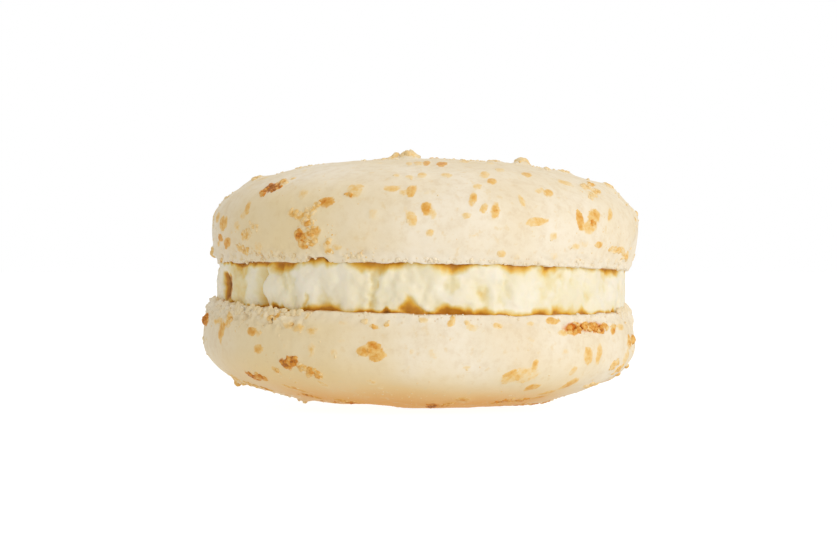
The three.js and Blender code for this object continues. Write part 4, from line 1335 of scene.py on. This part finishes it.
# %% Colours and nodes
def linear(code):
    """A colour such as "#F3E4C8" as linear red, green, blue and alpha."""
    parts = [int(code[i:i + 2], 16) / 255 for i in (1, 3, 5)]
    return (*[p / 12.92 if p <= 0.04045 else ((p + 0.055) / 1.055) ** 2.4 for p in parts], 1.0)


def set_stops(color_ramp, stops):
    """Gives a colour ramp its stops, as rows of place and colour code."""
    while len(color_ramp.elements) < len(stops):
        color_ramp.elements.new(0.5)
    for element, (place, code) in zip(color_ramp.elements, stops):
        element.position = place
        element.color = linear(code)


def add_node(tree, kind, settings=None, links=None):
    """Adds a node. Settings are its properties, or its sockets' values or colour codes by name or
    number; links are the outputs that feed its sockets."""
    node = tree.nodes.new(kind)
    for key, value in (settings or {}).items():
        if key == "stops":
            set_stops(node.color_ramp, value)
        elif isinstance(key, str) and hasattr(node, key):
            setattr(node, key, value)
        else:
            node.inputs[key].default_value = linear(value) if isinstance(value, str) else value
    for key, source in (links or {}).items():
        tree.links.new(source, node.inputs[key])
    return node


def new_finish(name):
    material = bpy.data.materials.new(name)
    material.use_nodes = True
    material.node_tree.nodes.clear()
    return material, material.node_tree


print("cream white in linear values:", [round(part, 3) for part in linear("#F6EDD8")])

# %% [markdown]
# A food is never one flat colour. Each finish is mixed from values that were kept on its mesh, such
# as how toasted a place is, and from noise on the piece's own coordinates, whose lumps have a real
# size. A coat of colour then goes over the last one as far as such a value says, as glaze does.

# %% What a finish is mixed from
SHARE, UNDER, OVER, MIXED = 0, 6, 7, 2  # the colour sockets of a Mix node, and its colour output


def sources(tree, kept, noises):
    """The values kept on a mesh, and noise by the size of its lumps in mm, detail and roughness."""
    found = {}
    for name in kept:
        found[name] = add_node(tree, "ShaderNodeAttribute", {"attribute_name": name}).outputs["Fac"]
    where = add_node(tree, "ShaderNodeTexCoord").outputs["Object"]
    for name, (size, detail, roughness) in noises.items():
        settings = {"Scale": 1 / (size * MM), "Detail": detail, "Roughness": roughness}
        found[name] = add_node(tree, "ShaderNodeTexNoise", settings, {"Vector": where}).outputs["Fac"]
    return found


def broken_up(tree, value, noise, strength):
    """A value whose edge is broken up by noise."""
    settings = {"operation": "MULTIPLY_ADD", 1: strength, 2: -strength / 2}
    shift = add_node(tree, "ShaderNodeMath", settings, {0: noise}).outputs[0]
    return add_node(tree, "ShaderNodeMath", {"operation": "ADD"}, {0: value, 1: shift}).outputs[0]


def coated(tree, colour, coats):
    """Lays coats over a colour, from rows of coat, share and strength."""
    for coat, share, strength in coats:
        part = add_node(tree, "ShaderNodeMath", {"operation": "MULTIPLY", 1: strength}, {0: share})
        settings, links = {"data_type": "RGBA"}, {SHARE: part.outputs[0], UNDER: colour}
        (settings if isinstance(coat, str) else links)[OVER] = coat
        colour = add_node(tree, "ShaderNodeMix", settings, links).outputs[MIXED]
    return colour


def finish_off(tree, colour, height, strength, depth, settings):
    """Ends a finish with a bump that is `depth` mm deep, one shader and the output."""
    bump = {"Strength": strength, "Distance": depth * MM}
    normal = add_node(tree, "ShaderNodeBump", bump, {"Height": height}).outputs["Normal"]
    links = {"Base Color": colour, "Normal": normal}
    shader = add_node(tree, "ShaderNodeBsdfPrincipled", settings, links).outputs["BSDF"]
    add_node(tree, "ShaderNodeOutputMaterial", links={"Surface": shader})


# %% [markdown]
# ### Toasted wafer
#
# Thin wafer toasted in butter and sugar: straw where it is pale, caramel and brown where it caught,
# slightly glossy from the sugar, with darker flecks. One ramp from pale to burnt serves both the
# wafer itself and the skin that it has stained, so that the two meet without a seam.

# %% The wafer
# How wafer looks from pale to burnt, by its tone from 0 to 1
WAFER_TONES = [
    (0.0, "#F4E3BE"), (0.3, "#F2D49C"), (0.5, "#EEC274"), (0.7, "#E3A344"), (0.85, "#D98826"),
    (1.0, "#AC6822"),
]
FLECKS = (0.5, 3.0, 0.6)  # the noise of the flecks in wafer: size in mm, detail and roughness


def wafer_colour(tree, toast, flecks):
    tone = broken_up(tree, toast, flecks, 0.8)
    return add_node(tree, "ShaderNodeValToRGB", {"stops": WAFER_TONES}, {"Fac": tone}).outputs["Color"]


def toasted_wafer():
    material, tree = new_finish("toasted_wafer")
    found = sources(tree, ["toast"], {"flecks": FLECKS, "grain": (0.3, 2.0, 0.5)})
    colour = wafer_colour(tree, found["toast"], found["flecks"])
    surface = {"Roughness": 0.52, "IOR": 1.47, "Specular IOR Level": 0.35}
    finish_off(tree, colour, found["grain"], 0.4, 0.05, surface)
    print(material.name, len(tree.nodes), "nodes")
    return material


# %% [markdown]
# ### Baked meringue
#
# A macaron shell is beaten egg white, sugar and ground almonds. Its skin is matt with a faint
# sheen, ivory with slow drifts towards straw, and tiny almond grains show in it. The foot is paler
# and open, with pores. The flat face that lay on the tray is golden brown. The lower dome grows more
# golden and brown towards the table, partly toast and partly painted shade. Round each flake the
# skin is stained, and noise breaks up the edge of the stain, because sugar soaks unevenly.

# %% The meringue
PORE_SIZE = 0.5  # mm from one pore of the foot to the next


def pores_of(tree, foot, patches):
    """1 in the pores, which lie in patches of the foot."""
    where = add_node(tree, "ShaderNodeTexCoord").outputs["Object"]
    settings = {"Scale": 1 / (PORE_SIZE * MM), "Randomness": 1.0}
    holes = add_node(tree, "ShaderNodeTexVoronoi", settings, {"Vector": where}).outputs["Distance"]
    pores = foot
    for value, low, high in ((holes, 0.3, 0.1), (patches, 0.45, 0.6)):
        slope = {"interpolation_type": "SMOOTHSTEP", "From Min": low, "From Max": high}
        part = add_node(tree, "ShaderNodeMapRange", slope, {"Value": value}).outputs["Result"]
        pores = add_node(tree, "ShaderNodeMath", {"operation": "MULTIPLY"}, {0: pores, 1: part}).outputs[0]
    return pores


def meringue():
    material, tree = new_finish("baked_almond_meringue")
    found = sources(tree, ["golden", "browned", "foot", "cover", "toast", "cavity", "baked"], {
        "drift": (7.0, 1.0, 0.5), "mottle": (1.0, 4.0, 0.65), "almond": (0.8, 3.0, 0.6),
        "patches": (2.4, 1.0, 0.5), "flecks": FLECKS, "grain": (0.35, 3.0, 0.6),
    })
    stops = {"stops": [(0.3, "#F1E1C4"), (0.5, "#F4E7CE"), (0.7, "#F7ECD8")]}
    drift = add_node(tree, "ShaderNodeValToRGB", stops, {"Fac": found["drift"]})
    stops = {"stops": [(0.3, "#EDE2D0"), (0.5, "#FBF8F2"), (0.7, "#FFFFFF")]}
    mottle = add_node(tree, "ShaderNodeValToRGB", stops, {"Fac": found["mottle"]})
    skin = add_node(tree, "ShaderNodeMix", {
        "data_type": "RGBA", "blend_type": "MULTIPLY", SHARE: 0.55,
    }, {UNDER: drift.outputs["Color"], OVER: mottle.outputs["Color"]})

    slope = {"interpolation_type": "SMOOTHSTEP", "From Min": 0.56, "From Max": 0.75}
    almond = add_node(tree, "ShaderNodeMapRange", slope, {"Value": found["almond"]}).outputs["Result"]
    stain = broken_up(tree, found["cover"], found["flecks"], 0.7)
    slope = {"interpolation_type": "SMOOTHSTEP", "From Min": 0.2, "From Max": 0.85}
    stain = add_node(tree, "ShaderNodeMapRange", slope, {"Value": stain}).outputs["Result"]
    wafer = wafer_colour(tree, found["toast"], found["flecks"])
    pores = pores_of(tree, found["foot"], found["patches"])
    colour = coated(tree, skin.outputs[MIXED], [
        # on the lower dome the golden and brown coats are partly toast and partly painted shade
        ("#F1D9A4", found["golden"], 1.0),
        ("#ECB05C", found["browned"], 1.0),
        ("#EBD2A2", almond, 0.6),
        ("#F6EEDF", found["foot"], 0.3),
        ("#D9B27A", pores, 0.5),
        (wafer, stain, 1.0),
        ("#D87C16", found["cavity"], 1.0),
        ("#DDAD5E", found["baked"], 1.0),
    ])
    dips = add_node(tree, "ShaderNodeMath", {"operation": "SUBTRACT"}, {0: found["grain"], 1: pores})
    surface = {"Roughness": 0.62, "IOR": 1.45, "Specular IOR Level": 0.35}
    finish_off(tree, colour, dips.outputs[0], 0.35, 0.06, surface)
    print(material.name, len(tree.nodes), "nodes")
    return material


# %% [markdown]
# ### Buttercream
#
# Butter beaten with sugar and egg is dense, pale and a little moist, and light goes some way into
# it. Amber is painted into its hollows as the shade and warm bounce light there, and the deepest
# ones have painted brown shade in the middle.

# %% The buttercream
# Painted amber shade, from none to the deepest hollows
CREAM_TONES = [
    (0.0, "#F3EACA"), (0.25, "#EEE0B4"), (0.5, "#EBCE82"), (0.75, "#E6B84A"), (0.9, "#DBA030"),
    (1.0, "#C18120"),
]


def buttercream():
    material, tree = new_finish("whipped_buttercream")
    found = sources(tree, ["soaked", "browned"], {
        "drift": (3.0, 2.0, 0.5), "blotches": (0.9, 3.0, 0.5), "spots": (0.6, 3.0, 0.5),
        "grain": (0.5, 3.0, 0.5),
    })
    stops = {"stops": [(0.35, "#F1E6C7"), (0.65, "#F6EDD8")]}
    drift = add_node(tree, "ShaderNodeValToRGB", stops, {"Fac": found["drift"]}).outputs["Color"]

    # How far amber shade is painted on the cream, how far that shows, and where it is painted brown
    soaked = broken_up(tree, found["soaked"], found["blotches"], 0.3)
    slope = {"interpolation_type": "SMOOTHSTEP", "From Min": 0.02, "From Max": 0.98}
    soaked = add_node(tree, "ShaderNodeMapRange", slope, {"Value": soaked}).outputs["Result"]
    slope = {"interpolation_type": "SMOOTHSTEP", "From Min": 0.0, "From Max": 0.25}
    shown = add_node(tree, "ShaderNodeMapRange", slope, {"Value": soaked}).outputs["Result"]
    browned = broken_up(tree, found["browned"], found["spots"], 1.0)
    slope = {"interpolation_type": "SMOOTHSTEP", "From Min": 0.3, "From Max": 1.1}
    browned = add_node(tree, "ShaderNodeMapRange", slope, {"Value": browned}).outputs["Result"]

    amber = add_node(tree, "ShaderNodeValToRGB", {"stops": CREAM_TONES}, {"Fac": soaked})
    colour = coated(tree, drift, [(amber.outputs["Color"], shown, 1.0), ("#9A6422", browned, 1.0)])
    finish_off(tree, colour, found["grain"], 0.3, 0.05, {
        "Roughness": 0.45, "IOR": 1.46, "Specular IOR Level": 0.4,
        "Subsurface Weight": 0.3, "Subsurface Radius": (1.2, 1.0, 0.7), "Subsurface Scale": 0.4 * MM,
        "subsurface_method": "RANDOM_WALK",
    })
    print(material.name, len(tree.nodes), "nodes")
    return material


# %% [markdown]
# ## Joining the pieces to the frame
#
# The macaron doesn't come apart, so every piece rides on its one body. Each piece takes the place
# of the solid that it dresses.

# %% Finish, ride and replace
meringue_finish = meringue()
wafer_finish = toasted_wafer()
cream_finish = buttercream()
pieces = (
    (upper_skin, "upper_shell", "shell", meringue_finish),
    (lower_skin, "lower_shell", "shell", meringue_finish),
    (upper_flakes, "upper_shell", "shell", wafer_finish),
    (lower_flakes, "lower_shell", "shell", wafer_finish),
    (upper_crumbs, "upper_shell", "shell", wafer_finish),
    (lower_crumbs, "lower_shell", "shell", wafer_finish),
    (upper_frills, "upper_shell", "shell", meringue_finish),
    (lower_frills, "lower_shell", "shell", meringue_finish),
    (cream, "filling", "filling", cream_finish),
)
for piece, node, slot, finish in pieces:
    piece.data.materials.append(finish)
    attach(piece, "root")
    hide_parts(node)
print(len(pieces), "pieces ride on the root")

# %% [markdown]
# ## A small photo studio
#
# A sheet of lit white acrylic makes a floor with next to no shadow, and white walls fill the
# shadows. One large soft lamp at the front right shapes the domes, and a weaker one above and
# behind lights their tops.

# %% The floor
FLOOR_SEEN = 0.92  # how bright the floor looks
FLOOR_FILL = 0.66  # how bright it is as light on the macaron
FLOOR_RADIUS = 3.0
FLOOR_GAP = 0.0002  # the floor lies this far below the macaron, clear of its flat spot


def lit_or_seen(tree, lit, seen):
    """One shader for the light that reaches the macaron, and another for what the eye sees."""
    ray = add_node(tree, "ShaderNodeLightPath").outputs["Is Camera Ray"]
    links = {0: ray, 1: lit.outputs[0], 2: seen.outputs[0]}
    return add_node(tree, "ShaderNodeMixShader", links=links).outputs[0]


def make_floor():
    body = bmesh.new()
    bmesh.ops.create_circle(body, cap_ends=True, segments=64, radius=FLOOR_RADIUS)
    bmesh.ops.translate(body, verts=body.verts, vec=(0, 0, -FLOOR_GAP))
    floor = mesh_of(body, "studio_floor")
    material, tree = new_finish("lit_white_acrylic")
    sheets = []
    for strength in (FLOOR_FILL, FLOOR_SEEN):
        sheets.append(add_node(tree, "ShaderNodeBsdfPrincipled", {
            "Base Color": "#6E6E6E", "Roughness": 0.7,
            "Emission Color": (1, 1, 1, 1), "Emission Strength": strength,
        }))
    add_node(tree, "ShaderNodeOutputMaterial", links={"Surface": lit_or_seen(tree, *sheets)})
    floor.data.materials.append(material)


make_floor()
print("floor of", 2 * FLOOR_RADIUS, "m, glowing at", FLOOR_SEEN)

# %% The world
FILL = 0.62  # how bright the white walls are, as light on the macaron


def make_world():
    world = bpy.data.worlds.new("white_studio")
    world.use_nodes = True
    tree = world.node_tree
    tree.nodes.clear()
    walls = add_node(tree, "ShaderNodeBackground", {"Color": "#FFFDF8", "Strength": FILL})
    seen = add_node(tree, "ShaderNodeBackground", {"Color": (1, 1, 1, 1), "Strength": 1.0})
    add_node(tree, "ShaderNodeOutputWorld", links={"Surface": lit_or_seen(tree, walls, seen)})
    bpy.context.scene.world = world


make_world()
print("white walls, at", FILL, "as light")

# %% The lamps
LAMP_AIM = Vector((0, 0, 0.013))  # the middle of the macaron


def stand(name, content, place, view):
    """Puts a lamp or a camera at a place, facing along `view`."""
    thing = into_scene(name, content)
    thing.location = place
    thing.rotation_euler = view.to_track_quat("-Z", "Y").to_euler()
    return thing


def make_lamp(name, azimuth, elevation, distance, size, power, colour):
    lamp = bpy.data.lights.new(name, "AREA")
    lamp.shape = "DISK"
    lamp.size = size
    lamp.energy = power
    lamp.color = linear(colour)[:3]
    flat = distance * math.cos(math.radians(elevation))
    height = distance * math.sin(math.radians(elevation))
    angle = math.radians(azimuth)
    spot = Vector((flat * math.sin(angle), -flat * math.cos(angle), height))
    stand(name, lamp, spot + LAMP_AIM, -spot)
    print(name, power, "W, from azimuth", azimuth, "and elevation", elevation)


make_lamp("key_lamp", azimuth=46, elevation=16, distance=0.6, size=0.45, power=1.42, colour="#FFFDFA")
make_lamp("top_lamp", azimuth=185, elevation=62, distance=0.6, size=0.45, power=0.75, colour="#FFFDFA")

# %% [markdown]
# The camera stands a quarter of a metre away, about as high as the upper shell's rim, so that this
# rim is seen as a straight line and the lower one as a shallow curve. Its sizes are in millimetres.

# %% The camera
CAMERA_DISTANCE = 250.0
EYE_HEIGHT = 15.5
AIM_HEIGHT = 13.6  # the height of the frame's middle
ASIDE = -0.28  # how far the frame's middle lies to the right of the axis
LENS = 96.3
SENSOR_WIDTH = 36.0
NEAREST_SEEN = 0.01  # in metres


def make_camera():
    camera = bpy.data.cameras.new("camera")
    camera.sensor_width = SENSOR_WIDTH
    camera.lens = LENS
    camera.clip_start = NEAREST_SEEN
    eye = Vector((ASIDE, -CAMERA_DISTANCE, EYE_HEIGHT)) * MM
    aim = Vector((ASIDE, 0, AIM_HEIGHT)) * MM
    bpy.context.scene.camera = stand("camera", camera, eye, aim - eye)
    print("camera", CAMERA_DISTANCE, "mm away, lens", LENS, "mm")


make_camera()
bpy.context.scene.view_settings.view_transform = "Standard"
